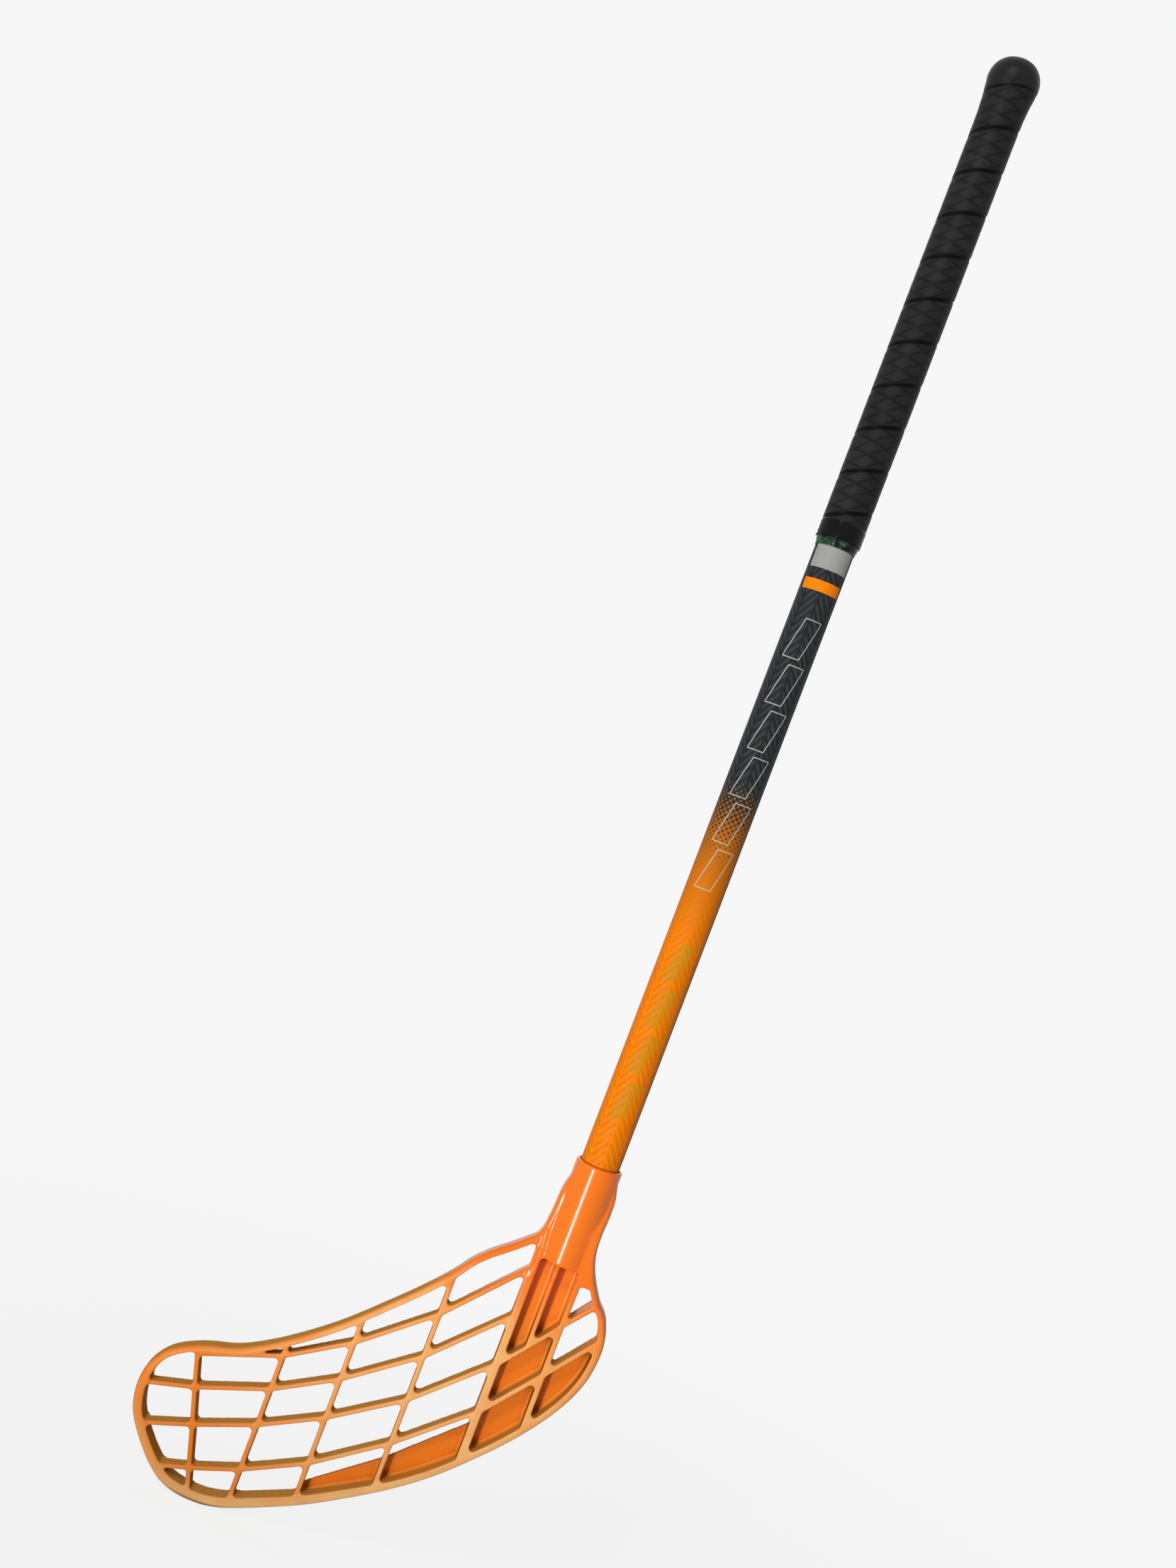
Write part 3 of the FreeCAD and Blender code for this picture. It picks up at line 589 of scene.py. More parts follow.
class STICK_OT_stage(bpy.types.Operator):
    """Set the floor, the lamps, the background and the camera"""

    bl_idname = "stick.stage"
    bl_label = "Stage"

    # Lamps: name, place, width and height in metres, and power in watts. All look at the middle
    lamps = (
        ("key", (-0.8, -1.6, 1.1), (0.5, 0.5), 17),
        ("low", (-0.6, -1.35, -0.85), (0.1, 0.6), 17),
        ("back", (-0.1, 1.8, 0.5), (1.0, 1.0), 8),
    )
    middle = Vector((-0.06, 0, -0.27))

    # Strength of the even light from all round
    ambient = 0.28

    # Camera: its place in metres, its lean to the side and its angle over the picture's height
    eye = Vector((-0.0739, -0.9, -0.2774))
    lean = math.radians(20.9)
    view_angle = math.radians(47.3)

    floor_corners = 64

    def floor(self, sizes):
        """A round floor under the stick."""
        radius = sizes.floor_radius
        corners = []
        for step in range(self.floor_corners):
            angle = step * TURN / self.floor_corners
            corners.append((radius * math.cos(angle), radius * math.sin(angle), FLOOR_LEVEL))
        mesh = bpy.data.meshes.new("floor")
        mesh.from_pydata(corners, [], [range(self.floor_corners)])
        floor = bpy.data.objects.new("floor", mesh)
        bpy.context.scene.collection.objects.link(floor)
        dress(floor, floor_material(sizes))

    def world(self, sizes):
        """An even light from all round, and the backdrop where it is seen."""
        world = bpy.data.worlds.new("studio")
        bpy.context.scene.world = world
        world.use_nodes = True
        tree = world.node_tree
        tree.nodes.clear()
        seen = seen_rays(tree)
        shown = add(tree, "ShaderNodeBackground", {"Color": tuple(sizes.backdrop), "Strength": 1.0})
        light = add(tree, "ShaderNodeBackground", {"Color": (1, 1, 1), "Strength": self.ambient})
        mixed = add(tree, "ShaderNodeMixShader", {0: seen, 1: light, 2: shown})
        add(tree, "ShaderNodeOutputWorld", {"Surface": mixed})

    def execute(self, context):
        sizes = context.scene.stick_stage
        self.floor(sizes)
        self.world(sizes)
        for name, place, (width, tall), power in self.lamps:
            data = bpy.data.lights.new(name, "AREA")
            data.shape = "RECTANGLE"
            data.size = width
            data.size_y = tall
            data.energy = power
            lamp = bpy.data.objects.new(name, data)
            lamp.location = place
            lamp.rotation_euler = (self.middle - Vector(place)).to_track_quat("-Z", "Y").to_euler()
            context.scene.collection.objects.link(lamp)
        data = bpy.data.cameras.new("camera")
        data.sensor_fit = "VERTICAL"
        data.angle = self.view_angle
        camera = bpy.data.objects.new("camera", data)
        upright = Matrix.Rotation(math.pi / 2, 4, "X")
        camera.matrix_world = Matrix.Translation(self.eye) @ upright @ Matrix.Rotation(self.lean, 4, "Z")
        context.scene.collection.objects.link(camera)
        context.scene.camera = camera
        context.scene.view_settings.view_transform = "Standard"
        return {"FINISHED"}


def seen_rays(tree):
    """1 for the rays that show the background: to the camera, in gloss and through clear things."""
    rays = add(tree, "ShaderNodeLightPath").node.outputs
    seen = rays["Is Camera Ray"]
    for name in ("Is Glossy Ray", "Is Transmission Ray"):
        seen = add(tree, "ShaderNodeMath", {0: seen, 1: rays[name]}, operation="MAXIMUM")
    return seen


# Sizes of the materials' patterns, in metres. The grains of strip, knob and blade are really about
# 0.2 mm, and are drawn coarser so that they show
STRIP_GRAIN = 0.9 * MM
STRIP_MOTTLE = 12 * MM
KNOB_GRAIN = 0.7 * MM
KNOB_MOTTLE = 9 * MM
TAPE_PULL = 2.5 * MM
FOIL_SHEEN = 5 * MM
INK_MOTTLE = 6 * MM
FIBRE = (0.6 * MM, 0.6 * MM, 20 * MM)
BLADE_FLOW = (30 * MM, 30 * MM, 12 * MM)
BLADE_GRAIN = 1.2 * MM
PLATING_CLOUD = 1.5 * MM
GLUE_CLOUD = 3 * MM

# Side of the foil over which its painted sheen turns from its first hue to its second: where this begins
# and ends, metres
FOIL_TURN = (-1 * MM, 8 * MM)


def grip_material(sizes):
    """Polyurethane strip, embossed: a dull skin with a fine leathery grain, darker in its grooves."""
    material, tree, shader = new_material("embossed polyurethane strip")
    place = add(tree, "ShaderNodeTexCoord").node.outputs["Object"]
    groove = add(tree, "ShaderNodeAttribute", attribute_name="groove").node.outputs["Fac"]
    grain = add(tree, "ShaderNodeTexNoise", {"Vector": place, "Scale": 1 / STRIP_GRAIN, "Detail": 3.0})
    mottle = add(tree, "ShaderNodeTexNoise", {"Vector": place, "Scale": 1 / STRIP_MOTTLE, "Detail": 4.0})
    shade = add(tree, "ShaderNodeMapRange", {0: mottle, 1: 0.3, 2: 0.7, 3: 0.8, 4: 1.25})
    skin = add(tree, "ShaderNodeMix", {0: 1.0, 6: tuple(sizes.foam), 7: shade}, **MULTIPLY)
    base = add(tree, "ShaderNodeMix", {0: groove, 6: skin, 7: tuple(sizes.groove)}, data_type="RGBA")
    rough = add(tree, "ShaderNodeMapRange", {0: grain, 3: 0.36, 4: 0.56})
    bump = add(tree, "ShaderNodeBump", {"Height": grain, "Strength": 0.25, "Distance": 0.2 * MM})
    constants(shader, Specular_IOR_Level=0.06)
    link(tree, shader, Base_Color=base, Roughness=rough, Normal=bump)
    return material


def knob_material(sizes):
    """Thermoplastic rubber, moulded: soft gloss with a fine spark-eroded grain."""
    material, tree, shader = new_material("moulded rubber")
    place = add(tree, "ShaderNodeTexCoord").node.outputs["Object"]
    grain = add(tree, "ShaderNodeTexNoise", {"Vector": place, "Scale": 1 / KNOB_GRAIN, "Detail": 2.0})
    mottle = add(tree, "ShaderNodeTexNoise", {"Vector": place, "Scale": 1 / KNOB_MOTTLE, "Detail": 4.0})
    shade = add(tree, "ShaderNodeMapRange", {0: mottle, 1: 0.3, 2: 0.7, 3: 0.85, 4: 1.2})
    base = add(tree, "ShaderNodeMix", {0: 1.0, 6: tuple(sizes.knob), 7: shade}, **MULTIPLY)
    rough = add(tree, "ShaderNodeMapRange", {0: mottle, 1: 0.35, 2: 0.65, 3: 0.2, 4: 0.5})
    bump = add(tree, "ShaderNodeBump", {"Height": grain, "Strength": 0.2, "Distance": 0.2 * MM})
    constants(shader, Specular_IOR_Level=0.09)
    link(tree, shader, Base_Color=base, Roughness=rough, Normal=bump)
    return material


def tape_material(sizes):
    """Vinyl tape, stretched: a wet black gloss broken by fine pulled ridges."""
    material, tree, shader = new_material("stretched vinyl tape")
    place = add(tree, "ShaderNodeTexCoord").node.outputs["Object"]
    fine = add(tree, "ShaderNodeTexNoise", {"Vector": place, "Scale": 1 / TAPE_PULL, "Detail": 3.0})
    rough = add(tree, "ShaderNodeMapRange", {0: fine, 3: 0.06, 4: 0.22})
    shade = add(tree, "ShaderNodeMapRange", {0: fine, 3: 0.7, 4: 1.5})
    base = add(tree, "ShaderNodeMix", {0: 1.0, 6: tuple(sizes.tape), 7: shade}, **MULTIPLY)
    bump = add(tree, "ShaderNodeBump", {"Height": fine, "Strength": 0.3, "Distance": 0.2 * MM})
    constants(shader, Specular_IOR_Level=0.12)
    link(tree, shader, Base_Color=base, Roughness=rough, Normal=bump)
    return material


def foil_material(sizes):
    """Metallised polyester foil, creased: dark, with painted glints on its facets and a painted sheen
    whose hue turns across it.
    """
    material, tree, shader = new_material("creased metallised foil")
    place = add(tree, "ShaderNodeTexCoord").node.outputs["Object"]
    facets = add(tree, "ShaderNodeTexVoronoi", {"Vector": place, "Scale": 1 / sizes.crease}).node
    tone = add(tree, "ShaderNodeSeparateColor", {0: facets.outputs["Color"]}).node
    parts = add(tree, "ShaderNodeSeparateXYZ", {0: place}).node.outputs
    side = add(tree, "ShaderNodeMapRange", {0: parts["X"], 1: FOIL_TURN[0], 2: FOIL_TURN[1]})
    hues = {0: side, 6: tuple(sizes.foil_green), 7: tuple(sizes.foil_pink)}
    hue = add(tree, "ShaderNodeMix", hues, data_type="RGBA")
    # Painted sheen and painted glints: bright facets in patches, of a hue that depends on the side
    sheen = add(tree, "ShaderNodeTexNoise", {"Vector": place, "Scale": 1 / FOIL_SHEEN, "Detail": 1.0})
    sheen = add(tree, "ShaderNodeMapRange", {0: sheen, 1: 0.42, 2: 0.68})
    glint = add(tree, "ShaderNodeMapRange", {0: tone.outputs[0], 1: 0.3, 2: 0.95, 3: 0.1, 4: 0.9})
    bright = add(tree, "ShaderNodeMath", {0: sheen, 1: glint}, operation="MULTIPLY")
    base = add(tree, "ShaderNodeMix", {0: bright, 6: tuple(sizes.foil), 7: hue}, data_type="RGBA")
    rough = add(tree, "ShaderNodeMapRange", {0: tone.outputs[2], 3: 0.12, 4: 0.35})
    bump = add(tree, "ShaderNodeBump", {"Height": tone.outputs[0], "Strength": 0.35, "Distance": 0.3 * MM})
    constants(shader, Metallic=0.85)
    link(tree, shader, Base_Color=base, Roughness=rough, Normal=bump)
    return material


# Printed film, in millimetres: heights along the shaft, or distances round it from the front.
# Each place has its middle and half its length
PALE_BLOCK = (-129.4, 6.1)
ORANGE_BLOCK = (-144.2, 2.85)
FRAMES = (-233.7, 73.7)
OLIVE = (-381.3, 49.2)
BLOCK_SIDES = (0.0, 11.4)
MARGIN = (14.6, 2.5)

# Heights between which the halftone dots close, their ink turns from brown to orange, and the bars
# come back on it
FADE = (-249, -304)
TONE = (-252, -336)
BARS_RETURN = (-300, -345)

# Square of the radius, in steps, at which the halftone dots have closed
DOTS_CLOSED = 0.52

# Bars: columns round the shaft, rise for each millimetre round it, half of a bar's share of its
# step, and half of the gap between two columns in millimetres
BAR_COLUMNS = 8
BAR_RISE = 1.5
BAR_SHARE = 0.27
COLUMN_GAP = 0.55

# Outlines: their lean, and in millimetres half their width, half their line's width, and how far the
# olive blocks stay inside them
FRAME_LEAN = -0.24
FRAME_REACH = 4.3
LINE_REACH = 0.22
OLIVE_INSET = 0.4

# Olive ink: what its hatching adds, and the least share of it
HATCH = (0.2, 0.36)


def print_material(sizes):
    """Polyester film, printed: satin ink, slanted bars, a halftone fade and two plain blocks."""
    material, tree, shader = new_material("printed polyester film")
    place = add(tree, "ShaderNodeTexCoord").node.outputs["Object"]
    parts = add(tree, "ShaderNodeSeparateXYZ", {0: place}).node.outputs
    towards = add(tree, "ShaderNodeMath", {0: parts["Y"], 1: -1.0}, operation="MULTIPLY")
    angle = add(tree, "ShaderNodeMath", {0: parts["X"], 1: towards}, operation="ARCTAN2")
    around = add(tree, "ShaderNodeMath", {0: angle, 1: FILM_RADIUS}, operation="MULTIPLY")
    height = add(tree, "ShaderNodeMath", {0: parts["Z"], 1: 1 / MM}, operation="MULTIPLY")

    # Slanted bars in columns that lean to and fro
    column = TURN * FILM_RADIUS / BAR_COLUMNS
    inner = {1: column / 2, 2: column / 2 - COLUMN_GAP}
    fold = add(tree, "ShaderNodeMath", {0: around, 1: column}, operation="PINGPONG")
    slant = add(tree, "ShaderNodeMath", {0: fold, 1: BAR_RISE, 2: height}, operation="MULTIPLY_ADD")
    phase = add(tree, "ShaderNodeMath", {0: slant, 1: MM / sizes.bar}, operation="MULTIPLY")
    phase = add(tree, "ShaderNodeMath", {0: phase}, operation="FRACT")
    stripe = add(tree, "ShaderNodeMath", {0: phase, 1: 0.5, 2: BAR_SHARE}, operation="COMPARE")
    inside = add(tree, "ShaderNodeMath", {0: fold, **inner}, operation="COMPARE")
    bars = add(tree, "ShaderNodeMath", {0: stripe, 1: inside}, operation="MULTIPLY")

    # Halftone dots that grow down the shaft until they close
    flat = add(tree, "ShaderNodeCombineXYZ", {0: around, 1: height})
    spacing = MM / sizes.dot
    turned = {"Vector": flat, "Rotation": (0, 0, math.pi / 4), "Scale": (spacing, spacing, 1)}
    grid = add(tree, "ShaderNodeMapping", turned)
    even = {"Vector": grid, "Scale": 1.0, "Randomness": 0.0}
    dots = add(tree, "ShaderNodeTexVoronoi", even, voronoi_dimensions="2D")
    growth = add(tree, "ShaderNodeMapRange", {0: height, 1: FADE[0], 2: FADE[1], 3: 0.0, 4: DOTS_CLOSED})
    growth = add(tree, "ShaderNodeMath", {0: growth}, operation="SQRT")
    lower = add(tree, "ShaderNodeMath", {0: dots, 1: growth}, operation="LESS_THAN")

    # Slanted outlines on the front, and slanted olive blocks further down
    step = sizes.frame_step / MM
    cell = add(tree, "ShaderNodeMath", {0: height, 1: step / 2, 2: -step / 2}, operation="WRAP")
    lean = add(tree, "ShaderNodeMath", {0: cell, 1: FRAME_LEAN, 2: around}, operation="MULTIPLY_ADD")
    wide = add(tree, "ShaderNodeMath", {0: lean}, operation="ABSOLUTE")
    wide = add(tree, "ShaderNodeMath", {0: wide, 1: FRAME_REACH}, operation="SUBTRACT")
    tall = add(tree, "ShaderNodeMath", {0: cell}, operation="ABSOLUTE")
    tall = add(tree, "ShaderNodeMath", {0: tall, 1: sizes.frame_length / MM / 2}, operation="SUBTRACT")
    rim = add(tree, "ShaderNodeMath", {0: wide, 1: tall}, operation="MAXIMUM")
    outline = add(tree, "ShaderNodeMath", {0: rim, 1: 0.0, 2: LINE_REACH}, operation="COMPARE")
    there = add(tree, "ShaderNodeMath", {0: height, 1: FRAMES[0], 2: FRAMES[1]}, operation="COMPARE")
    outline = add(tree, "ShaderNodeMath", {0: outline, 1: there}, operation="MULTIPLY")
    block = add(tree, "ShaderNodeMath", {0: rim, 1: -OLIVE_INSET}, operation="LESS_THAN")
    there = add(tree, "ShaderNodeMath", {0: height, 1: OLIVE[0], 2: OLIVE[1]}, operation="COMPARE")
    block = add(tree, "ShaderNodeMath", {0: block, 1: there}, operation="MULTIPLY")
    hatch = add(tree, "ShaderNodeMath", {0: phase, 1: HATCH[0], 2: HATCH[1]}, operation="MULTIPLY_ADD")
    block = add(tree, "ShaderNodeMath", {0: block, 1: hatch}, operation="MULTIPLY")

    # Blocks below the grip, and the margin at the film's seam
    sides = {0: around, 1: BLOCK_SIDES[0], 2: BLOCK_SIDES[1]}
    front = add(tree, "ShaderNodeMath", sides, operation="COMPARE")
    covers = []
    for middle, half in (PALE_BLOCK, ORANGE_BLOCK):
        cover = add(tree, "ShaderNodeMath", {0: height, 1: middle, 2: half}, operation="COMPARE")
        covers.append(add(tree, "ShaderNodeMath", {0: cover, 1: front}, operation="MULTIPLY"))
    margin = add(tree, "ShaderNodeMath", {0: around, 1: MARGIN[0], 2: MARGIN[1]}, operation="COMPARE")

    # Inks
    mottle = add(tree, "ShaderNodeTexNoise", {"Vector": place, "Scale": 1 / INK_MOTTLE, "Detail": 4.0})
    patchy = add(tree, "ShaderNodeMapRange", {0: mottle, 1: 0.3, 2: 0.7, 3: 0.55, 4: 1.0})
    bars = add(tree, "ShaderNodeMath", {0: bars, 1: patchy}, operation="MULTIPLY")
    inks = {0: bars, 6: tuple(sizes.dark), 7: tuple(sizes.dark_bar)}
    dark = add(tree, "ShaderNodeMix", inks, data_type="RGBA")
    again = add(tree, "ShaderNodeMapRange", {0: height, 1: BARS_RETURN[0], 2: BARS_RETURN[1]})
    bars = add(tree, "ShaderNodeMath", {0: bars, 1: again}, operation="MULTIPLY")
    inks = {0: bars, 6: tuple(sizes.orange), 7: tuple(sizes.orange_bar)}
    light = add(tree, "ShaderNodeMix", inks, data_type="RGBA")
    light = add(tree, "ShaderNodeMix", {0: block, 6: light, 7: tuple(sizes.olive)}, data_type="RGBA")
    tone = add(tree, "ShaderNodeMapRange", {0: height, 1: TONE[0], 2: TONE[1]})
    light = add(tree, "ShaderNodeMix", {0: tone, 6: tuple(sizes.brown), 7: light}, data_type="RGBA")
    ink = add(tree, "ShaderNodeMix", {0: lower, 6: dark, 7: light}, data_type="RGBA")
    hues = (sizes.line, sizes.pale_block, sizes.orange_block, sizes.dark)
    for cover, hue in zip((outline, *covers, margin), hues):
        ink = add(tree, "ShaderNodeMix", {0: cover, 6: ink, 7: tuple(hue)}, data_type="RGBA")
    rough = add(tree, "ShaderNodeMapRange", {0: mottle, 3: 0.42, 4: 0.6})
    bump = add(tree, "ShaderNodeBump", {"Height": mottle, "Strength": 0.08, "Distance": 0.4 * MM})
    constants(shader, Specular_IOR_Level=0.08)
    link(tree, shader, Base_Color=ink, Roughness=rough, Normal=bump)
    return material


def composite_material(sizes):
    """Glass and carbon composite, pultruded: near black, with long fine fibres that change the gloss."""
    material, tree, shader = new_material("pultruded composite")
    place = add(tree, "ShaderNodeTexCoord").node.outputs["Object"]
    lengths = tuple(1 / length for length in FIBRE)
    drawn = add(tree, "ShaderNodeMapping", {"Vector": place, "Scale": lengths})
    fibre = add(tree, "ShaderNodeTexNoise", {"Vector": drawn, "Scale": 1.0, "Detail": 2.0})
    shade = add(tree, "ShaderNodeMapRange", {0: fibre, 3: 0.6, 4: 1.8})
    base = add(tree, "ShaderNodeMix", {0: 1.0, 6: tuple(sizes.composite), 7: shade}, **MULTIPLY)
    rough = add(tree, "ShaderNodeMapRange", {0: fibre, 3: 0.3, 4: 0.5})
    link(tree, shader, Base_Color=base, Roughness=rough)
    return material


# Distances from the blade's middle plane over which the painted sheen on its faces, the painted light on
# the bottoms of its pockets and the painted shade on its inner walls come in, metres
FACE_DEPTHS = (3.4 * MM, 5.2 * MM)
LIT_FLOOR_DEPTHS = (3.6 * MM, 2.8 * MM)
WALL_DEPTHS = (5.6 * MM, 4.2 * MM)

# Heights below the neck over which the painted sheen on the faces comes in, metres
NECK_LEVELS = (-515 * MM, -545 * MM)

# Middle of the painted highlight on the blade's front, and the distances from it over which the painted
# highlights on the faces and on the lower edge go down, metres
HIGHLIGHT_PLACE = (-30 * MM, -5 * MM, -612 * MM)
FACE_HIGHLIGHT = (20 * MM, 130 * MM)
EDGE_HIGHLIGHT = (80 * MM, 180 * MM)

# Direction that is up when the stick is held as it is played, in the shaft's frame, from which the painted
# light on the walls falls
LIGHT_FROM = (-0.357, 0, 0.934)


def plastic_material(sizes):
    """Polyethylene, injection moulded: waxy half gloss, dull inside; painted sheen and highlights on its
    faces, painted light and shade in its openings.
    """
    material, tree, shader = new_material("moulded polyethylene")
    place = add(tree, "ShaderNodeTexCoord").node.outputs["Object"]
    parts = add(tree, "ShaderNodeSeparateXYZ", {0: place}).node.outputs
    depth = add(tree, "ShaderNodeMath", {0: parts["Y"]}, operation="ABSOLUTE")
    below = add(tree, "ShaderNodeMapRange", {0: parts["Z"], 1: NECK_LEVELS[0], 2: NECK_LEVELS[1]})

    # Patches along the flow of the plastic
    lengths = tuple(1 / length for length in BLADE_FLOW)
    drawn = add(tree, "ShaderNodeMapping", {"Vector": place, "Scale": lengths})
    patches = {"Vector": drawn, "Scale": 1.0, "Detail": 2.0, "Distortion": 0.3}
    flow = add(tree, "ShaderNodeTexNoise", patches)
    patchy = add(tree, "ShaderNodeMapRange", {0: flow, 1: 0.3, 2: 0.7, 3: 0.6, 4: 1.0})

    # Painted sheen on the faces of rim and ribs, and painted light on the bottoms of the pockets
    outer = add(tree, "ShaderNodeMapRange", {0: depth, 1: FACE_DEPTHS[0], 2: FACE_DEPTHS[1]})
    face_sheen = add(tree, "ShaderNodeMath", {0: outer, 1: below}, operation="MULTIPLY")
    face_sheen = add(tree, "ShaderNodeMath", {0: face_sheen, 1: patchy}, operation="MULTIPLY")
    faces = {0: face_sheen, 6: tuple(sizes.plastic), 7: tuple(sizes.plastic_sheen)}
    base = add(tree, "ShaderNodeMix", faces, data_type="RGBA")
    levels = {1: LIT_FLOOR_DEPTHS[0], 2: LIT_FLOOR_DEPTHS[1], 3: 0.0, 4: 0.65}
    floor_light = add(tree, "ShaderNodeMapRange", {0: depth, **levels})
    floor_light = add(tree, "ShaderNodeMath", {0: floor_light, 1: patchy}, operation="MULTIPLY")
    lit_floors = {0: floor_light, 6: base, 7: tuple(sizes.plastic_floor_light)}
    base = add(tree, "ShaderNodeMix", lit_floors, data_type="RGBA")

    # Painted highlights on the front and on the lower edge
    away = add(tree, "ShaderNodeVectorMath", {0: place, 1: HIGHLIGHT_PLACE}, operation="DISTANCE")
    away = away.node.outputs["Value"]
    reach = {0: away, 1: FACE_HIGHLIGHT[0], 2: FACE_HIGHLIGHT[1], 3: 0.55, 4: 0.0}
    face_highlight = add(tree, "ShaderNodeMapRange", reach, interpolation_type="SMOOTHSTEP")
    front = add(tree, "ShaderNodeMath", {0: parts["Y"], 1: 0.0}, operation="LESS_THAN")
    face_highlight = add(tree, "ShaderNodeMath", {0: face_highlight, 1: front}, operation="MULTIPLY")
    edge_highlight = add(tree, "ShaderNodeAttribute", attribute_name="edge_highlight").node.outputs["Fac"]
    edge = add(tree, "ShaderNodeMapRange", {0: away, 1: EDGE_HIGHLIGHT[0], 2: EDGE_HIGHLIGHT[1], 3: 1.0, 4: 0.3})
    edge_highlight = add(tree, "ShaderNodeMath", {0: edge_highlight, 1: edge}, operation="MULTIPLY")
    highlit = add(tree, "ShaderNodeMath", {0: face_highlight, 1: edge_highlight}, operation="MAXIMUM")
    highlit = add(tree, "ShaderNodeMath", {0: highlit, 1: face_sheen}, operation="MULTIPLY")
    base = add(tree, "ShaderNodeMix", {0: highlit, 6: base, 7: tuple(sizes.plastic_highlight)}, data_type="RGBA")

    # Painted shade on the dull walls and in the corners, with painted light on the walls that face up
    normal = add(tree, "ShaderNodeNewGeometry").node.outputs["Normal"]
    toward_light = add(tree, "ShaderNodeVectorMath", {0: normal, 1: LIGHT_FROM}, operation="DOT_PRODUCT")
    wall_light = add(tree, "ShaderNodeMapRange", {0: toward_light.node.outputs["Value"], 1: 0.4, 2: 0.9})
    facing = add(tree, "ShaderNodeSeparateXYZ", {0: normal}).node.outputs["Y"]
    facing = add(tree, "ShaderNodeMath", {0: facing}, operation="ABSOLUTE")
    walls = add(tree, "ShaderNodeMapRange", {0: facing, 1: 0.7, 2: 0.2, 3: 0.0, 4: 1.0})
    inner = add(tree, "ShaderNodeMapRange", {0: depth, 1: WALL_DEPTHS[0], 2: WALL_DEPTHS[1]})
    # This mask carries the painted shade of the walls and, further down, their matt finish
    dull = add(tree, "ShaderNodeMath", {0: walls, 1: inner}, operation="MULTIPLY")
    dull = add(tree, "ShaderNodeMath", {0: dull, 1: below}, operation="MULTIPLY")
    dull = add(tree, "ShaderNodeMath", {0: dull, 1: 0.8}, operation="MULTIPLY")
    # Painted shade in the corners, from how little of the sky they see
    corners = add(tree, "ShaderNodeAmbientOcclusion", {"Distance": sizes.shade}, samples=8)
    open_sky = corners.node.outputs["AO"]
    corner_shade = add(tree, "ShaderNodeMapRange", {0: open_sky, 1: 0.75, 2: 0.35, 3: 0.0, 4: 0.85})
    dull = add(tree, "ShaderNodeMath", {0: dull, 1: corner_shade}, operation="MAXIMUM")
    depths = {0: wall_light, 6: tuple(sizes.plastic_wall_shade), 7: tuple(sizes.plastic_lit_wall)}
    wall_shade_and_light = add(tree, "ShaderNodeMix", depths, data_type="RGBA")
    base = add(tree, "ShaderNodeMix", {0: dull, 6: base, 7: wall_shade_and_light}, data_type="RGBA")

    # Glossy neck, duller blade, matt depths, and a fine moulded grain
    rough = add(tree, "ShaderNodeMapRange", {0: flow, 1: 0.3, 2: 0.7, 3: 0.14, 4: 0.22})
    rough = add(tree, "ShaderNodeMath", {0: below, 1: 0.17, 2: rough}, operation="MULTIPLY_ADD")
    rough = add(tree, "ShaderNodeMath", {0: dull, 1: 0.45, 2: rough}, operation="MULTIPLY_ADD")
    gloss = add(tree, "ShaderNodeMapRange", {0: below, 3: 0.32, 4: 0.2})
    matt = add(tree, "ShaderNodeMapRange", {0: dull, 1: 0.0, 2: 0.7, 3: 1.0, 4: 0.15})
    gloss = add(tree, "ShaderNodeMath", {0: gloss, 1: matt}, operation="MULTIPLY")
    grain = add(tree, "ShaderNodeTexNoise", {"Vector": place, "Scale": 1 / BLADE_GRAIN, "Detail": 3.0})
    bump = add(tree, "ShaderNodeBump", {"Height": grain, "Strength": 0.06, "Distance": 0.3 * MM})
    link(tree, shader, Base_Color=base, Roughness=rough, Specular_IOR_Level=gloss, Normal=bump)
    return material


def steel_material(sizes):
    """Zinc plated steel: bright, slightly cloudy plating."""
    material, tree, shader = new_material("zinc plated steel")
    place = add(tree, "ShaderNodeTexCoord").node.outputs["Object"]
    cloud = add(tree, "ShaderNodeTexNoise", {"Vector": place, "Scale": 1 / PLATING_CLOUD, "Detail": 3.0})
    shade = add(tree, "ShaderNodeMapRange", {0: cloud, 3: 0.8, 4: 1.1})
    base = add(tree, "ShaderNodeMix", {0: 1.0, 6: tuple(sizes.steel), 7: shade}, **MULTIPLY)
    rough = add(tree, "ShaderNodeMapRange", {0: cloud, 3: 0.22, 4: 0.4})
    constants(shader, Metallic=1.0)
    link(tree, shader, Base_Color=base, Roughness=rough)
    return material


def glue_material(sizes):
    """Hot melt: honey coloured and waxy, with cloudy patches."""
    material, tree, shader = new_material("hot melt adhesive")
    place = add(tree, "ShaderNodeTexCoord").node.outputs["Object"]
    cloud = add(tree, "ShaderNodeTexNoise", {"Vector": place, "Scale": 1 / GLUE_CLOUD, "Detail": 3.0})
    shade = add(tree, "ShaderNodeMapRange", {0: cloud, 3: 0.8, 4: 1.15})
    base = add(tree, "ShaderNodeMix", {0: 1.0, 6: tuple(sizes.glue), 7: shade}, **MULTIPLY)
    rough = add(tree, "ShaderNodeMapRange", {0: cloud, 3: 0.3, 4: 0.5})
    link(tree, shader, Base_Color=base, Roughness=rough)
    return material


# Share of the background's own brightness in the floor, as the camera sees it
FLOOR_GLOW = 0.9

# Shares of the floor's radius between which it fades out
FLOOR_FADE = (0.3, 0.98)


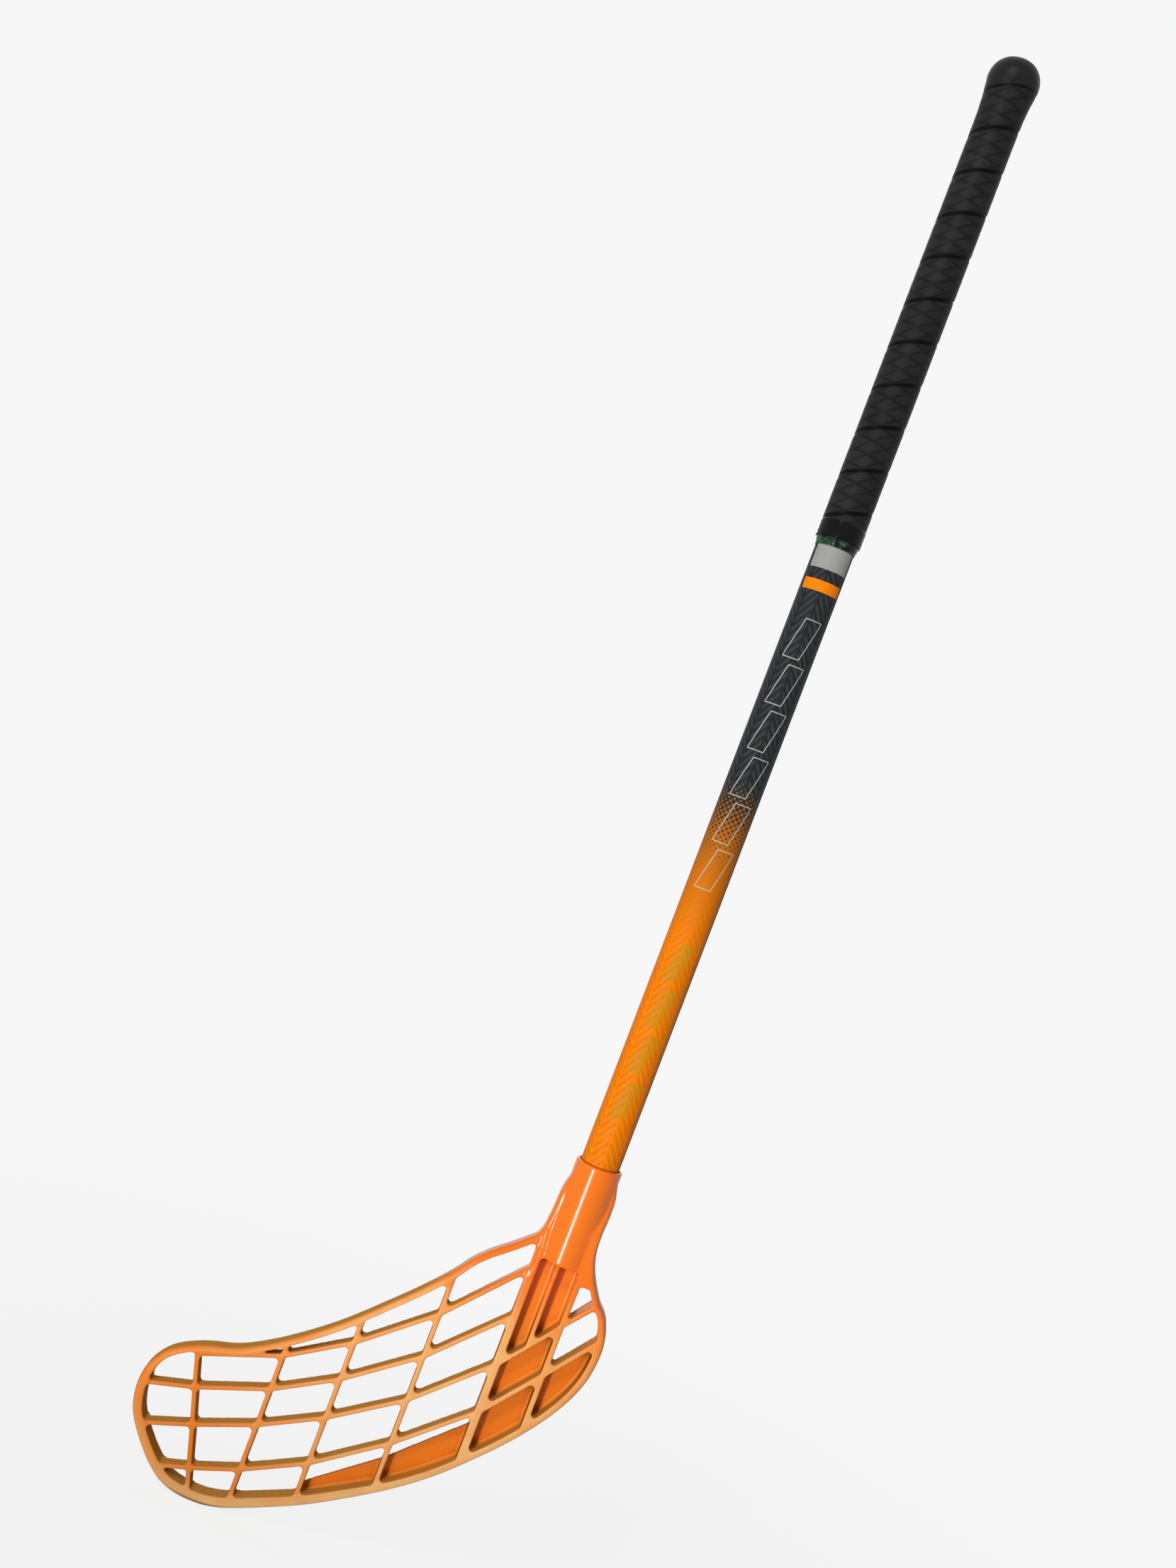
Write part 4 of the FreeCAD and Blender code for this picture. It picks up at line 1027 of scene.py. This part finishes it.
def floor_material(sizes):
    """Pale studio floor: dull paint that fades into the background at its rim."""
    material, tree, shader = new_material("pale matt floor")
    place = add(tree, "ShaderNodeTexCoord").node.outputs["Object"]
    parts = add(tree, "ShaderNodeSeparateXYZ", {0: place}).node.outputs
    level = add(tree, "ShaderNodeCombineXYZ", {0: parts["X"], 1: parts["Y"]})
    away = add(tree, "ShaderNodeVectorMath", {0: level}, operation="LENGTH").node.outputs["Value"]
    near, far = (share * sizes.floor_radius for share in FLOOR_FADE)
    fade = {0: away, 1: near, 2: far, 3: 1.0, 4: 0.0}
    solid = add(tree, "ShaderNodeMapRange", fade, interpolation_type="SMOOTHSTEP")
    seen = add(tree, "ShaderNodeMath", {0: seen_rays(tree), 1: FLOOR_GLOW}, operation="MULTIPLY")
    glow = add(tree, "ShaderNodeEmission", {"Color": tuple(sizes.backdrop), "Strength": 1.0})
    clear = add(tree, "ShaderNodeBsdfTransparent")
    lit = add(tree, "ShaderNodeMixShader", {0: seen, 1: shader.outputs[0], 2: glow})
    faded = add(tree, "ShaderNodeMixShader", {0: solid, 1: clear, 2: lit})
    tree.links.new(faded, tree.nodes["Material Output"].inputs["Surface"])
    constants(shader, Base_Color=(*sizes.backdrop, 1), Roughness=0.9)
    return material


GROUPS = (
    ("stick_grip", STICK_PG_grip),
    ("stick_bands", STICK_PG_bands),
    ("stick_print", STICK_PG_print),
    ("stick_blade", STICK_PG_blade),
    ("stick_stage", STICK_PG_stage),
)
OPERATORS = (
    STICK_OT_grip,
    STICK_OT_knob,
    STICK_OT_bands,
    STICK_OT_shaft,
    STICK_OT_blade,
    STICK_OT_stage,
)


class STICK_PT_panel(bpy.types.Panel):
    """Pieces of the stick and their sizes"""

    bl_label = "Floorball stick"
    bl_idname = "STICK_PT_panel"
    bl_space_type = "VIEW_3D"
    bl_region_type = "UI"
    bl_category = "Stick"

    def draw(self, context):
        for operator in OPERATORS:
            self.layout.operator(operator.bl_idname)
        for name, group in GROUPS:
            box = self.layout.box()
            for prop in group.__annotations__:
                box.prop(getattr(context.scene, name), prop)


CLASSES = tuple(group for name, group in GROUPS) + OPERATORS + (STICK_PT_panel,)


def register():
    for item in CLASSES:
        bpy.utils.register_class(item)
    for name, group in GROUPS:
        setattr(bpy.types.Scene, name, PointerProperty(type=group))


def unregister():
    for name, group in GROUPS:
        delattr(bpy.types.Scene, name)
    for item in reversed(CLASSES):
        bpy.utils.unregister_class(item)


def main():
    register()
    bpy.ops.stick.grip()
    bpy.ops.stick.knob()
    bpy.ops.stick.bands()
    bpy.ops.stick.shaft()
    bpy.ops.stick.blade()
    bpy.ops.stick.stage()


if __name__ == "__main__":
    main()
